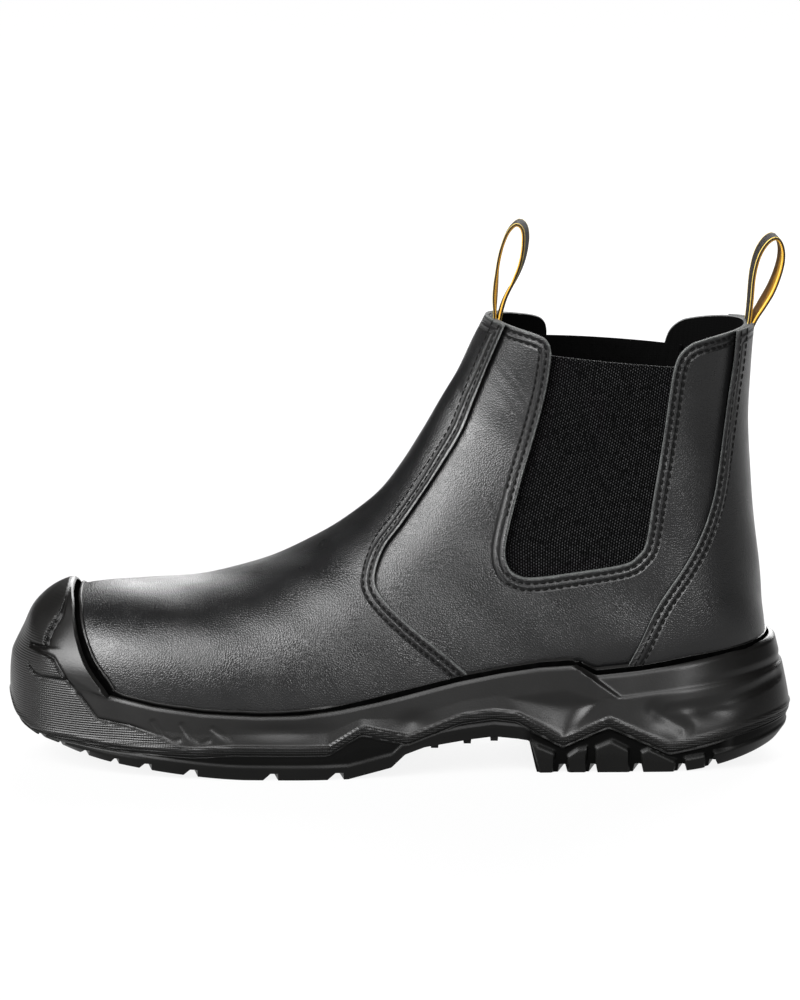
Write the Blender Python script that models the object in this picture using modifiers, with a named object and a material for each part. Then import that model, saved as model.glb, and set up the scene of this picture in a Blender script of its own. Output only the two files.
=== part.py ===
"""Elastic-sided safety boot, left foot, standing on its sole.

Toe towards -X, heel towards +X, outer (lateral) side towards -Y, +Z up. The floor is z = 0 and the
origin lies on it under the middle of the boot. The tables are in millimetres; MM turns them into metres.

One function, skin_points, gives the shape of the lasted upper. Every piece that follows the foot is made
from it: leather walls are the skin with a thickness, and the sole's cup is the sole minus the skin.
"""

import math
from collections import namedtuple

import bmesh
import bpy
import numpy as np

MM = 0.001

# Driving sizes
BOOT_LENGTH = 312.0
OVERLAY = 1.6
UPPER_WALL = 2.4
GORE_THICKNESS = 1.5
GORE_TUCK = 6.0
INSOLE_THICKNESS = 4.5
TOE_CAP_THICKNESS = 3.6
TOE_CAP_FOOT_THICKNESS = 6.4
TOE_CAP_SWELL = (60.0, 38.0)
GAP = 0.3
LOOP_WIDTH = 17.0
LOOP_THICKNESS = 1.3

# How deep each layer lies below the skin, which is the outer face of the vamp and the counter
UPPER_DEPTH = OVERLAY + GAP
GORE_DEPTH = UPPER_DEPTH + UPPER_WALL + GAP
INSOLE_DEPTH = UPPER_DEPTH + UPPER_WALL + 2 * GAP

# Mesh fineness
TOE_ROWS = 5
TOE_RINGS = 10
BODY_RINGS = 21
POINTS_AROUND = 22
STATION_STEP = 8.0
HALF_DEPTH = 80.0
FAR = 190.0

# The last, one row for each section from the toe tip round the heel to above the collar.
# A section is the plane through its front point (on the vamp, instep and shin line) and its back point
# (under the sole, then up the heel). swing is the y of both, outer and inner are the y of the widest
# places, belly is where on the way from back to front they lie, and low and high are how square the
# curve is below and above them (2 is an ellipse).
Section = namedtuple("Section", "front_x front_z back_x back_z swing outer inner belly low high")
LAST = [
    Section(-149.4, 38.0, -149.4, 38.0, 6.0, 6.0, 6.0, 0.40, 2.3, 2.2),
    Section(-147.8, 47.3, -147.8, 30.0, 6.0, -6.8, 18.4, 0.40, 2.4, 2.2),
    Section(-143.0, 57.2, -143.0, 23.5, 5.8, -18.6, 27.8, 0.37, 2.7, 2.3),
    Section(-133.6, 64.2, -133.6, 19.0, 5.5, -28.8, 35.6, 0.33, 3.0, 2.4),
    Section(-118.5, 67.3, -118.5, 16.5, 5.0, -37.2, 41.4, 0.30, 3.2, 2.4),
    Section(-99.0, 68.6, -99.0, 14.5, 4.5, -43.2, 45.6, 0.29, 3.2, 2.4),
    Section(-77.0, 70.8, -77.0, 13.0, 4.0, -46.8, 48.2, 0.28, 3.2, 2.3),
    Section(-53.5, 77.5, -53.0, 12.5, 3.5, -48.4, 48.2, 0.27, 3.2, 2.1),
    Section(-31.0, 88.4, -27.0, 14.0, 3.0, -48.0, 45.4, 0.25, 3.2, 2.0),
    Section(-12.5, 101.3, 3.0, 17.5, 2.5, -44.8, 41.4, 0.24, 3.2, 2.0),
    Section(0.0, 115.8, 38.0, 22.5, 2.0, -40.2, 37.8, 0.25, 3.2, 2.1),
    Section(8.5, 129.6, 80.0, 26.5, 1.5, -36.8, 37.0, 0.29, 3.2, 2.2),
    Section(14.2, 139.4, 121.0, 28.5, 1.0, -35.6, 37.0, 0.33, 2.8, 2.2),
    Section(18.6, 147.2, 144.0, 41.0, 1.0, -35.4, 37.0, 0.36, 2.4, 2.1),
    Section(22.6, 154.4, 144.2, 65.0, 1.0, -35.6, 37.2, 0.38, 2.2, 2.1),
    Section(27.0, 163.2, 141.2, 94.0, 1.0, -36.4, 38.0, 0.42, 2.2, 2.1),
    Section(31.2, 171.8, 138.4, 126.0, 1.0, -37.6, 39.4, 0.46, 2.2, 2.1),
    Section(35.6, 181.0, 138.8, 158.0, 1.0, -39.2, 41.0, 0.48, 2.2, 2.1),
    Section(40.4, 191.4, 142.0, 190.0, 1.0, -40.0, 41.8, 0.49, 2.2, 2.1),
]

# The sole's widest outline, from the toe tip to the back of the heel
Station = namedtuple("Station", "x outer inner")
SOLE_OUTLINE = [
    Station(-BOOT_LENGTH / 2, 6.0, 6.0),
    Station(-153.9, -9.4, 21.0),
    Station(-147.8, -22.2, 31.6),
    Station(-137.4, -33.2, 40.0),
    Station(-121.0, -42.2, 46.2),
    Station(-101.0, -48.8, 51.0),
    Station(-80.0, -52.4, 53.6),
    Station(-57.0, -53.9, 54.0),
    Station(-34.0, -54.0, 51.4),
    Station(-10.0, -50.6, 47.2),
    Station(14.0, -46.2, 43.4),
    Station(40.0, -42.4, 41.4),
    Station(66.0, -40.8, 41.0),
    Station(92.0, -40.2, 41.2),
    Station(114.0, -38.8, 40.2),
    Station(131.0, -34.0, 36.0),
    Station(144.8, -25.6, 27.8),
    Station(153.4, -13.8, 15.8),
    Station(BOOT_LENGTH / 2, 1.0, 1.0),
]

# Heights along the boot
Level = namedtuple("Level", "x z")
INSOLE_SEAT = [
    Level(-FAR, 27.5), Level(-150.0, 24.5), Level(-110.0, 19.5), Level(-80.0, 16.5),
    Level(-55.0, 15.5), Level(-30.0, 17.0), Level(-5.0, 20.5), Level(20.0, 25.0),
    Level(45.0, 28.5), Level(70.0, 30.5), Level(100.0, 31.5), Level(FAR, 33.0),
]
SOLE_LIP = [
    Level(-155.0, 39.0), Level(-114.0, 31.6), Level(-97.0, 28.4), Level(-78.0, 26.2),
    Level(-55.0, 25.2), Level(-39.0, 25.6), Level(-23.0, 27.6), Level(-8.0, 30.4),
    Level(8.0, 34.0), Level(23.0, 37.4), Level(39.0, 40.2), Level(55.0, 42.6),
    Level(67.0, 43.6), Level(77.0, 38.4), Level(94.0, 40.2), Level(117.0, 43.6),
    Level(133.0, 46.0), Level(155.0, 49.0),
]
OUTSOLE_TOP = [
    Level(-156.0, 25.0), Level(-152.6, 18.5), Level(-146.0, 15.2), Level(-128.0, 14.2),
    Level(-111.0, 12.6), Level(-80.0, 11.4), Level(-65.0, 12.6), Level(-28.0, 12.6),
    Level(-15.0, 20.4), Level(3.0, 15.8), Level(24.0, 23.4), Level(37.0, 24.8),
    Level(46.0, 23.4), Level(64.0, 13.4), Level(82.0, 21.4), Level(106.0, 10.4),
    Level(120.0, 13.0), Level(136.0, 16.8), Level(155.0, 20.5),
]
ARCH = [
    Level(-20.0, 0.0), Level(-3.0, 4.0), Level(2.4, 9.0), Level(10.0, 11.6), Level(27.0, 14.0),
    Level(37.0, 15.0), Level(47.0, 13.8), Level(51.0, 12.8), Level(54.0, 0.0),
]
SOLE_CORNERS = (-20.0, 51.0, 54.0, 67.0, 77.0)
TOE_SPRING = 12.5
TOE_SPRING_FROM = -60.0
HEEL_BEVEL = 9.0
HEEL_BEVEL_FROM = 106.0

# The sole's side wall: share of the height from the outsole's top to the lip, and how far the wall
# stands in from the widest outline along the sides and at the back of the heel
Wall = namedtuple("Wall", "share side heel")
SIDE_WALL = [
    Wall(0.00, 0.0, 0.0), Wall(0.12, 0.5, 1.4), Wall(0.42, 1.5, 4.4), Wall(0.52, 1.5, 3.6),
    Wall(0.64, 1.7, 3.4), Wall(0.90, 2.0, 6.0), Wall(1.00, 2.8, 7.4),
]
RIM_WIDTH = 6.0
SEAT_THICKNESS = 5.0
EDGE_INSET = 2.0
TOE_EDGE_INSET = 7.5
HEEL_EDGE_INSET = 4.5
HEEL_TURN = (108.0, 150.0)
TOE_TURN = (-112.0, -150.0)

# Tread: places of the cross grooves, their width at the top and their depth
Groove = namedtuple("Groove", "x width depth")
CROSS_GROOVES = [
    Groove(-132.7, 2.4, 2.4), Groove(-122.8, 2.4, 2.6), Groove(-111.0, 2.4, 2.8),
    Groove(-98.5, 3.6, 4.2), Groove(-80.5, 4.0, 4.6), Groove(-49.0, 4.0, 4.6),
    Groove(-23.5, 4.4, 4.6), Groove(63.3, 3.2, 5.4), Groove(75.5, 3.2, 5.4),
    Groove(93.2, 3.8, 5.4), Groove(110.6, 3.4, 4.8), Groove(122.8, 3.4, 4.6),
]
Channel = namedtuple("Channel", "start end y")
LONG_CHANNELS = [Channel(-128.0, -18.0, -16.0), Channel(-128.0, -18.0, 21.0), Channel(58.0, 128.0, 1.0)]
CHANNEL_WIDTH = 4.4
CHANNEL_DEPTH = 4.2
GROOVE_DRAFT = 2.2
GROOVE_START = 3.0
CHEVRON = 9.0
ARCH_RIBS = (13.6, 26.4, 37.0)
RIB_WIDTH = 4.0
RIB_HEIGHT = 1.8
RIB_HALF_LENGTH = 34.0

# Side-view lines of the upper, each (x, z)
COLLAR_FRONT = [(30.0, 177.4), (46.0, 174.0), (53.6, 172.2), (57.2, 170.2), (58.8, 166.6)]
GORE_FRONT = [(58.4, 160.0), (56.4, 148.0), (52.4, 132.0), (47.4, 114.6), (43.0, 97.4), (41.2, 87.6)]
GORE_FOOT = [
    (42.4, 81.4), (46.2, 77.8), (53.0, 76.8), (70.0, 79.0), (87.6, 82.0), (93.6, 85.8), (96.6, 91.4),
]
GORE_BACK = [(99.2, 109.0), (102.8, 132.6), (105.4, 152.4), (106.8, 160.4)]
COLLAR_BACK = [(108.8, 165.4), (112.4, 168.8), (117.0, 170.6), (129.0, 172.8), (150.0, 175.4)]
GORE_TOP = [(112.0, 159.6), (52.6, 165.0)]
VAMP_SEAM = [
    (45.0, FAR), (41.6, 176.4), (34.6, 159.4), (28.7, 144.3), (23.4, 131.6), (12.4, 114.0), (1.2, 98.0),
    (-6.6, 87.8), (-10.0, 77.4), (-7.4, 70.6), (3.0, 60.2), (20.4, 45.4), (40.0, 27.0), (40.0, 0.0),
]
COUNTER_SEAM = [
    (133.0, FAR), (131.6, 174.0), (130.6, 161.4), (128.9, 149.8), (127.4, 138.0), (125.3, 122.4),
    (122.7, 107.0), (117.9, 93.2), (111.8, 82.0), (101.2, 66.0), (93.4, 49.4), (79.0, 21.0), (79.0, 0.0),
]
TOE_CAP_RIM = [
    (-126.0, FAR), (-128.2, 68.0), (-127.4, 61.0), (-125.2, 53.0), (-121.2, 42.6), (-113.6, 30.6),
]
TOE_CAP_FOOT = [(-110.0, 25.0), (-140.0, 24.0), (-FAR, 30.0)]

# Pull loops: side-view route of the webbing from its sewn end up and round to its other end
FRONT_LOOP = [
    (36.3, 163.6), (39.5, 170.3), (41.0, 177.8), (38.0, 186.0), (37.4, 195.0), (39.6, 205.0), (43.4, 211.8),
    (46.8, 213.2), (49.4, 208.4), (49.6, 199.0), (47.6, 189.0), (44.8, 179.5), (42.4, 171.2), (39.0, 163.2),
]
BACK_LOOP = [
    (130.8, 160.0), (130.9, 167.0), (131.8, 174.4), (134.6, 183.6), (136.4, 193.4), (139.4, 201.4),
    (143.4, 206.8), (147.0, 207.6), (149.4, 203.6), (149.4, 197.0), (147.0, 189.4), (141.0, 182.2),
    (134.2, 176.0), (132.6, 167.4), (132.5, 160.0),
]
LOOP_POINTS = 30
LOOP_CENTRE_Y = 1.0


def through(values, t, even_start=False, even_end=False):
    """Value at row position t of a smooth curve through the values (Catmull-Rom).

    An even end runs straight back on itself there, as x does where an outline rounds a tip.
    """
    v = np.asarray(values, float)
    before = v[1] if even_start else 2 * v[0] - v[1]
    after = v[-2] if even_end else 2 * v[-1] - v[-2]
    v = np.concatenate([[before], v, [after]])
    i = np.clip(np.floor(t).astype(int), 0, len(v) - 4)
    f = t - i
    a, b, c, d = v[i], v[i + 1], v[i + 2], v[i + 3]
    return b + 0.5 * f * (c - a + f * (2 * a - 5 * b + 4 * c - d + f * (3 * (b - c) + d - a)))


def level(rows, x):
    """Height of a table of levels at x, along straight stretches."""
    return np.interp(x, [r.x for r in rows], [r.z for r in rows])


def skin_surface(t, angle):
    """Points of the lasted upper's skin at row position t and angle round the section.

    The angle is 0 at the back point, runs up the outer side to pi at the front point and then down the
    inner side.
    """
    row = {name: through([getattr(s, name) for s in LAST], t, name in ("front_x", "back_x"))
           for name in Section._fields}
    c, s = np.cos(angle), np.sin(angle)
    power = 2 / np.where(c > 0, row["low"], row["high"])
    reach = np.abs(c) ** power
    along = np.where(c > 0, row["belly"] * (1 - reach), row["belly"] + (1 - row["belly"]) * reach)
    widest = np.where(s > 0, row["outer"], row["inner"])
    x = row["back_x"] + along * (row["front_x"] - row["back_x"])
    y = row["swing"] + (widest - row["swing"]) * np.abs(s) ** power
    z = row["back_z"] + along * (row["front_z"] - row["back_z"])
    return np.stack([x, y, z], -1)


def skin_points(offset):
    """Rings of points of the skin moved outwards by offset(z), from the toe tip (one point) up the collar."""
    toe = np.linspace(0, TOE_ROWS, TOE_RINGS, endpoint=False)[1:]
    t = np.concatenate([toe, np.linspace(TOE_ROWS, len(LAST) - 1, BODY_RINGS)])[:, None]
    angle = np.linspace(0, 2 * math.pi, POINTS_AROUND, endpoint=False)[None, :]
    t, angle = np.broadcast_arrays(t, angle)
    step = 1e-3
    along = skin_surface(t + step, angle) - skin_surface(t - step, angle)
    round_ = skin_surface(t, angle + step) - skin_surface(t, angle - step)
    normal = np.cross(along, round_)
    normal /= np.linalg.norm(normal, axis=-1, keepdims=True)
    points = skin_surface(t, angle)
    tip = skin_surface(np.zeros(1), np.zeros(1))[0]
    points = points + normal * np.broadcast_to(offset(points[..., 2]), t.shape)[..., None]
    tip = tip - np.array([offset(tip[2]), 0, 0])
    return tip, points


def new_object(name, collection, bm):
    mesh = bpy.data.meshes.new(name)
    bm.to_mesh(mesh)
    bm.free()
    obj = bpy.data.objects.new(name, mesh)
    collection.objects.link(obj)
    return obj


def cutter(obj):
    """Marks a helper that shapes other pieces and is not one itself."""
    obj.hide_render = True
    obj.display_type = "WIRE"
    return obj


def boolean(obj, operation, other):
    modifier = obj.modifiers.new(f"{operation.lower()} {other.name}", "BOOLEAN")
    modifier.operation = operation
    modifier.solver = "EXACT"
    if isinstance(other, bpy.types.Collection):
        modifier.operand_type = "COLLECTION"
        modifier.collection = other
    else:
        modifier.object = other
    return obj


def solidify(obj, thickness):
    """Gives an open surface a wall that grows inwards from it."""
    modifier = obj.modifiers.new("wall", "SOLIDIFY")
    modifier.thickness = thickness * MM
    modifier.offset = -1
    return obj


def loft(bm, loops, triangles=False):
    """Joins each closed loop of points to the next with faces; returns the loops' vertices.

    Curved forms that nest in one another are joined with triangles, all cut along the same diagonal.
    """
    made = [[bm.verts.new(np.asarray(p) * MM) for p in loop] for loop in loops]
    for low, high in zip(made, made[1:]):
        for i in range(len(low)):
            j = (i + 1) % len(low)
            if triangles:
                bm.faces.new((low[i], low[j], high[j]))
                bm.faces.new((low[i], high[j], high[i]))
            else:
                bm.faces.new((low[i], low[j], high[j], high[i]))
    return made


def skin_form(name, collection, offset, closed):
    """The skin moved outwards by offset, as a closed solid or as a surface that is open above the collar.

    The offset is a distance, or a function that gives it at a height.
    """
    tip, rings = skin_points(offset if callable(offset) else lambda z: offset)
    bm = bmesh.new()
    made = loft(bm, rings, triangles=True)
    nose = bm.verts.new(tip * MM)
    for i in range(POINTS_AROUND):
        bm.faces.new((nose, made[0][(i + 1) % POINTS_AROUND], made[0][i]))
    if closed:
        bm.faces.new(made[-1])
    bmesh.ops.recalc_face_normals(bm, faces=bm.faces)
    return new_object(name, collection, bm)


def side_prism(name, collection, outline, from_y=-HALF_DEPTH, to_y=HALF_DEPTH):
    """A side-view outline drawn out across the boot."""
    bm = bmesh.new()
    face = bm.faces.new([bm.verts.new((x * MM, from_y * MM, z * MM)) for x, z in outline])
    grown = bmesh.ops.extrude_face_region(bm, geom=[face])["geom"]
    across = (0, (to_y - from_y) * MM, 0)
    bmesh.ops.translate(bm, vec=across, verts=[v for v in grown if isinstance(v, bmesh.types.BMVert)])
    bmesh.ops.recalc_face_normals(bm, faces=bm.faces)
    return cutter(new_object(name, collection, bm))


def smooth_line(points, steps):
    """A smooth curve through side-view points, with the given number of steps for each stretch."""
    t = np.linspace(0, len(points) - 1, steps * (len(points) - 1) + 1)
    x = through([p[0] for p in points], t)
    z = through([p[1] for p in points], t)
    return list(zip(x, z))


def grown_line(points, distance):
    """A side-view line moved to its left by a distance."""
    line = np.array(points, float)
    ahead = np.gradient(line, axis=0)
    ahead /= np.linalg.norm(ahead, axis=1, keepdims=True)
    return [tuple(p) for p in line + distance * np.stack([-ahead[:, 1], ahead[:, 0]], 1)]


def seat_line(rise):
    return [(r.x, r.z + rise) for r in INSOLE_SEAT]


def collar_line():
    """The upper's top edge from front to back, with the elastic's window as a deep notch in it."""
    return COLLAR_FRONT + GORE_FRONT + GORE_FOOT + GORE_BACK + COLLAR_BACK


def sole_ground(x):
    """Height of the tread's lowest surface at x: toe spring, flat forefoot, arch, flat heel, heel bevel."""
    x = np.asarray(x, float)
    toe = np.clip((TOE_SPRING_FROM - x) / (TOE_SPRING_FROM + BOOT_LENGTH / 2), 0, 1)
    heel = np.clip((x - HEEL_BEVEL_FROM) / (BOOT_LENGTH / 2 - HEEL_BEVEL_FROM), 0, 1)
    return level(ARCH, x) + TOE_SPRING * toe ** 1.5 + HEEL_BEVEL * heel ** 1.7


def ease(x, turn):
    """0 before a turn of the outline and 1 after it, with a smooth change between."""
    f = np.clip((x - turn[0]) / (turn[1] - turn[0]), 0, 1)
    return f * f * (3 - 2 * f)


def outsole_core(x):
    """Height of the outsole's top inside its rim, low enough to leave the cup a floor."""
    return np.minimum(level(OUTSOLE_TOP, x), level(INSOLE_SEAT, x) - SEAT_THICKNESS)


def sole_stations():
    """Row positions along the sole's outline: evenly spaced, and one on each corner of the outsole's top."""
    fine = np.linspace(0, len(SOLE_OUTLINE) - 1, 2000)
    x = through([s.x for s in SOLE_OUTLINE], fine, True, True)
    ends = np.linspace(0, 2, 5)
    back = len(SOLE_OUTLINE) - 1 - ends
    even = np.interp(np.arange(-132.0, 146.0, STATION_STEP), x, fine)
    corners = [r.x for r in OUTSOLE_TOP if -132.0 < r.x < 144.0]
    corners = np.interp(corners + list(SOLE_CORNERS), x, fine)
    spare = STATION_STEP / 2.6 / (BOOT_LENGTH / len(SOLE_OUTLINE))
    even = [e for e in even if np.min(np.abs(corners - e)) > spare]
    return np.unique(np.round(np.concatenate([ends, back, even, corners]), 4))


def sole_loop(inset, height):
    """A closed loop round the sole: the outline moved in by inset(x), at height(x)."""
    t = sole_stations()
    x = through([s.x for s in SOLE_OUTLINE], t, True, True)
    outer = np.stack([x, through([s.outer for s in SOLE_OUTLINE], t)], 1)
    inner = np.stack([x, through([s.inner for s in SOLE_OUTLINE], t)], 1)
    loop = np.concatenate([outer, inner[-2:0:-1]])
    ahead = np.roll(loop, -1, 0) - np.roll(loop, 1, 0)
    ahead /= np.linalg.norm(ahead, axis=1, keepdims=True)
    inwards = np.stack([-ahead[:, 1], ahead[:, 0]], 1)
    moved = loop + inwards * np.broadcast_to(inset(loop[:, 0]), len(loop))[:, None]
    return np.column_stack([moved, height(moved[:, 0])])


def close_flat(bm, loop):
    """Closes a sole loop straight across from the outer side to the inner side."""
    last = len(loop) // 2
    bm.faces.new((loop[0], loop[1], loop[-1]))
    bm.faces.new((loop[last], loop[last + 1], loop[last - 1]))
    for i in range(1, last - 1):
        bm.faces.new((loop[i], loop[i + 1], loop[-i - 1], loop[-i]))


def sole_solid(name, collection, loops, edge, core):
    """A stack of sole loops. The sloping rim between the loops edge and core is cut into triangles the same
    way in the outsole and the midsole, so that they lie one gap apart all over it.
    """
    bm = bmesh.new()
    made = loft(bm, loops)
    count = len(made[0])
    for i in range(count):
        j = (i + 1) % count
        rim = (made[edge][i], made[edge][j], made[core][j], made[core][i])
        face = next(f for f in rim[0].link_faces if set(f.verts) == set(rim))
        bmesh.utils.face_split(face, rim[0], rim[2])
    close_flat(bm, made[0])
    close_flat(bm, made[-1])
    bmesh.ops.recalc_face_normals(bm, faces=bm.faces)
    return new_object(name, collection, bm)


def cross_groove(collection, index, groove):
    """A chevron cutter right across the tread, wider at the floor. It crosses the outer edge at x."""
    top = float(sole_ground(groove.x)) + groove.depth
    point = -CHEVRON if groove.x < 0 else CHEVRON
    half_width = -np.interp(groove.x, [s.x for s in SOLE_OUTLINE], [s.outer for s in SOLE_OUTLINE])
    loops = []
    low = float(sole_ground(groove.x)) - GROOVE_START
    for half, z in ((groove.width * GROOVE_DRAFT / 2, low), (groove.width / 2, top)):
        wing = groove.x + point * (1 - HALF_DEPTH / half_width)
        line = [(wing, -HALF_DEPTH), (groove.x + point, 0.0), (wing, HALF_DEPTH)]
        front = [(x - half, y, z) for x, y in line]
        back = [(x + half, y, z) for x, y in reversed(line)]
        loops.append(front + back)
    bm = bmesh.new()
    made = loft(bm, loops)
    bm.faces.new(made[0])
    bm.faces.new(made[-1])
    bmesh.ops.recalc_face_normals(bm, faces=bm.faces)
    return cutter(new_object(f"cross_groove_{index}", collection, bm))


def long_channel(collection, index, channel):
    """A cutter along the tread that follows the toe spring."""
    half = CHANNEL_WIDTH / 2
    loops = []
    for x in np.linspace(channel.start, channel.end, 7):
        low = float(sole_ground(x)) - GROOVE_START
        top = float(sole_ground(x)) + CHANNEL_DEPTH
        wide = half * GROOVE_DRAFT
        loops.append([(x, channel.y - wide, low), (x, channel.y + wide, low),
                      (x, channel.y + half, top), (x, channel.y - half, top)])
    bm = bmesh.new()
    made = loft(bm, loops)
    bm.faces.new(made[0])
    bm.faces.new(made[-1])
    bmesh.ops.recalc_face_normals(bm, faces=bm.faces)
    return cutter(new_object(f"long_channel_{index}", collection, bm))


def arch_rib(collection, index, x):
    """A low bar across the arch."""
    low = float(sole_ground(x)) - RIB_HEIGHT
    high = low + 3 * RIB_HEIGHT
    half = RIB_WIDTH / 2
    outline = [(x - half, high), (x - half * 0.7, low), (x + half * 0.7, low), (x + half, high)]
    return side_prism(f"arch_rib_{index}", collection, outline, -RIB_HALF_LENGTH, RIB_HALF_LENGTH)


def make_outsole(parts, cutters):
    """The tread: from its lugs up to the wavy line on the side of the sole."""
    def edge(x):
        return EDGE_INSET + (TOE_EDGE_INSET - EDGE_INSET) * ease(x, TOE_TURN) + (
            HEEL_EDGE_INSET - EDGE_INSET) * ease(x, HEEL_TURN)

    def shoulder(x):
        return 0.3 * edge(x)

    def shoulder_height(x):
        return 0.45 * sole_ground(x) + 0.55 * level(OUTSOLE_TOP, x)

    def top_height(x):
        return level(OUTSOLE_TOP, x)

    def rim(x):
        return np.full_like(x, RIM_WIDTH)

    loops = [sole_loop(edge, sole_ground), sole_loop(shoulder, shoulder_height),
             sole_loop(np.zeros_like, top_height), sole_loop(rim, outsole_core)]
    outsole = sole_solid("outsole", parts, loops, edge=2, core=3)
    ribs = child_collection("arch_ribs", cutters)
    for i, x in enumerate(ARCH_RIBS):
        arch_rib(ribs, i, x)
    boolean(outsole, "UNION", ribs)
    tread = child_collection("tread_grooves", cutters)
    for i, groove in enumerate(CROSS_GROOVES):
        cross_groove(tread, i, groove)
    for i, channel in enumerate(LONG_CHANNELS):
        long_channel(tread, i, channel)
    return boolean(outsole, "DIFFERENCE", tread)


def make_midsole(parts, cutters):
    """The moulded sole unit: side wall, cup for the upper, and the toe cap that rises from it."""
    def wall_loop(row):
        def inset(x):
            side = row.side + (row.heel - row.side) * ease(x, HEEL_TURN)
            return side * (1 - ease(x, TOE_TURN))

        def height(x):
            low = level(OUTSOLE_TOP, x) + GAP
            return low + row.share * (level(SOLE_LIP, x) - low)

        return sole_loop(inset, height)

    def rim(x):
        return np.full_like(x, RIM_WIDTH)

    def underside(x):
        return outsole_core(x) + GAP

    loops = [sole_loop(rim, underside)] + [wall_loop(row) for row in SIDE_WALL]
    def cap_thickness(z):
        return TOE_CAP_THICKNESS + (TOE_CAP_FOOT_THICKNESS - TOE_CAP_THICKNESS) * ease(z, TOE_CAP_SWELL)

    midsole = sole_solid("midsole_with_toe_cap", parts, loops, edge=1, core=0)
    cap = cutter(skin_form("toe_cap_form", cutters, cap_thickness, True))
    outline = TOE_CAP_RIM + TOE_CAP_FOOT + [(-FAR, FAR)]
    boolean(cap, "INTERSECT", side_prism("toe_cap_side", cutters, outline))
    boolean(midsole, "UNION", cap)
    cup = cutter(skin_form("cup_form", cutters, GAP, True))
    above_seat = seat_line(0) + [(FAR, 2 * FAR), (-FAR, 2 * FAR)]
    boolean(cup, "INTERSECT", side_prism("cup_side", cutters, above_seat))
    return boolean(midsole, "DIFFERENCE", cup)


def make_upper(parts, cutters):
    """The hollow leather wall, open at the collar, the gore windows and underneath, and its two overlays."""
    upper = solidify(skin_form("upper", parts, -UPPER_DEPTH, False), UPPER_WALL)
    outline = seat_line(GAP) + [(FAR, COLLAR_BACK[-1][1])] + collar_line()[::-1]
    outline += [(-FAR, COLLAR_FRONT[0][1])]
    body = side_prism("upper_side", cutters, outline)
    boolean(upper, "INTERSECT", body)

    vamp = solidify(skin_form("vamp", parts, 0, False), OVERLAY)
    boolean(vamp, "INTERSECT", body)
    front = smooth_line(VAMP_SEAM[1:-2], 2)
    front = VAMP_SEAM[:1] + front + VAMP_SEAM[-2:]
    boolean(vamp, "INTERSECT", side_prism("vamp_side", cutters, front + [(-FAR, 0.0), (-FAR, FAR)]))

    counter = solidify(skin_form("heel_counter", parts, 0, False), OVERLAY)
    boolean(counter, "INTERSECT", body)
    back = smooth_line(COUNTER_SEAM[1:-2], 2)
    back = COUNTER_SEAM[:1] + back + COUNTER_SEAM[-2:]
    boolean(counter, "INTERSECT", side_prism("counter_side", cutters, back + [(FAR, 0.0), (FAR, FAR)]))
    return upper, vamp, counter


def make_gores(parts, cutters):
    """The elastic panels, sewn behind the edges of the windows."""
    window = GORE_FRONT + GORE_FOOT + GORE_BACK
    outline = grown_line(window, -GORE_TUCK) + GORE_TOP
    sides = (("elastic_gore_outer", -HALF_DEPTH, 0.0), ("elastic_gore_inner", 0.0, HALF_DEPTH))
    gores = []
    for name, from_y, to_y in sides:
        gore = solidify(skin_form(name, parts, -GORE_DEPTH, False), GORE_THICKNESS)
        boolean(gore, "INTERSECT", side_prism(f"{name}_side", cutters, outline, from_y, to_y))
        gores.append(gore)
    return gores


def make_insole(parts, cutters):
    """The footbed: lies on the sole's cup, inside the upper."""
    insole = skin_form("insole", parts, -INSOLE_DEPTH, True)
    band = seat_line(GAP) + seat_line(GAP + INSOLE_THICKNESS)[::-1]
    return boolean(insole, "INTERSECT", side_prism("insole_side", cutters, band))


def make_loop(name, parts, route):
    """A pull loop of flat webbing, both ends sewn inside the collar."""
    t = np.linspace(0, len(route) - 1, LOOP_POINTS)
    line = np.stack([through([p[0] for p in route], t), through([p[1] for p in route], t)], 1)
    half = LOOP_THICKNESS / 2
    left = np.array(grown_line(line, half))
    right = np.array(grown_line(line, -half))
    low_y = LOOP_CENTRE_Y - LOOP_WIDTH / 2
    high_y = LOOP_CENTRE_Y + LOOP_WIDTH / 2
    sections = [[(a[0], low_y, a[1]), (b[0], low_y, b[1]), (b[0], high_y, b[1]), (a[0], high_y, a[1])]
                for a, b in zip(left, right)]
    bm = bmesh.new()
    made = loft(bm, sections)
    bm.faces.new(made[0])
    bm.faces.new(made[-1])
    bmesh.ops.recalc_face_normals(bm, faces=bm.faces)
    return new_object(name, parts, bm)


def child_collection(name, parent):
    collection = bpy.data.collections.new(name)
    parent.children.link(collection)
    return collection


def finish_with(obj, colour, roughness):
    """Smooth shading with sharp edges kept, and the piece's own material."""
    material = bpy.data.materials.new(obj.name)
    material.use_nodes = True
    shader = material.node_tree.nodes["Principled BSDF"]
    shader.inputs["Base Color"].default_value = (*colour, 1)
    shader.inputs["Roughness"].default_value = roughness
    shader.inputs["Metallic"].default_value = 0
    obj.data.materials.append(material)
    obj.data.shade_smooth()
    obj.data.set_sharp_from_angle(angle=math.radians(35))


def main():
    for obj in list(bpy.data.objects):
        bpy.data.objects.remove(obj)
    scene = bpy.context.scene.collection
    parts = child_collection("safety_boot", scene)
    cutters = child_collection("cutters", scene)

    leather, leather_gloss = (0.030, 0.031, 0.032), 0.42
    rubber, rubber_gloss = (0.018, 0.018, 0.017), 0.55
    finish_with(make_outsole(parts, cutters), rubber, rubber_gloss)
    finish_with(make_midsole(parts, cutters), (0.022, 0.022, 0.021), 0.48)
    for piece in make_upper(parts, cutters):
        finish_with(piece, leather, leather_gloss)
    for gore in make_gores(parts, cutters):
        finish_with(gore, (0.012, 0.012, 0.012), 0.9)
    finish_with(make_insole(parts, cutters), (0.02, 0.02, 0.02), 0.9)
    for name, route in (("pull_loop_front", FRONT_LOOP), ("pull_loop_back", BACK_LOOP)):
        finish_with(make_loop(name, parts, route), (0.03, 0.027, 0.024), 0.75)


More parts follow.
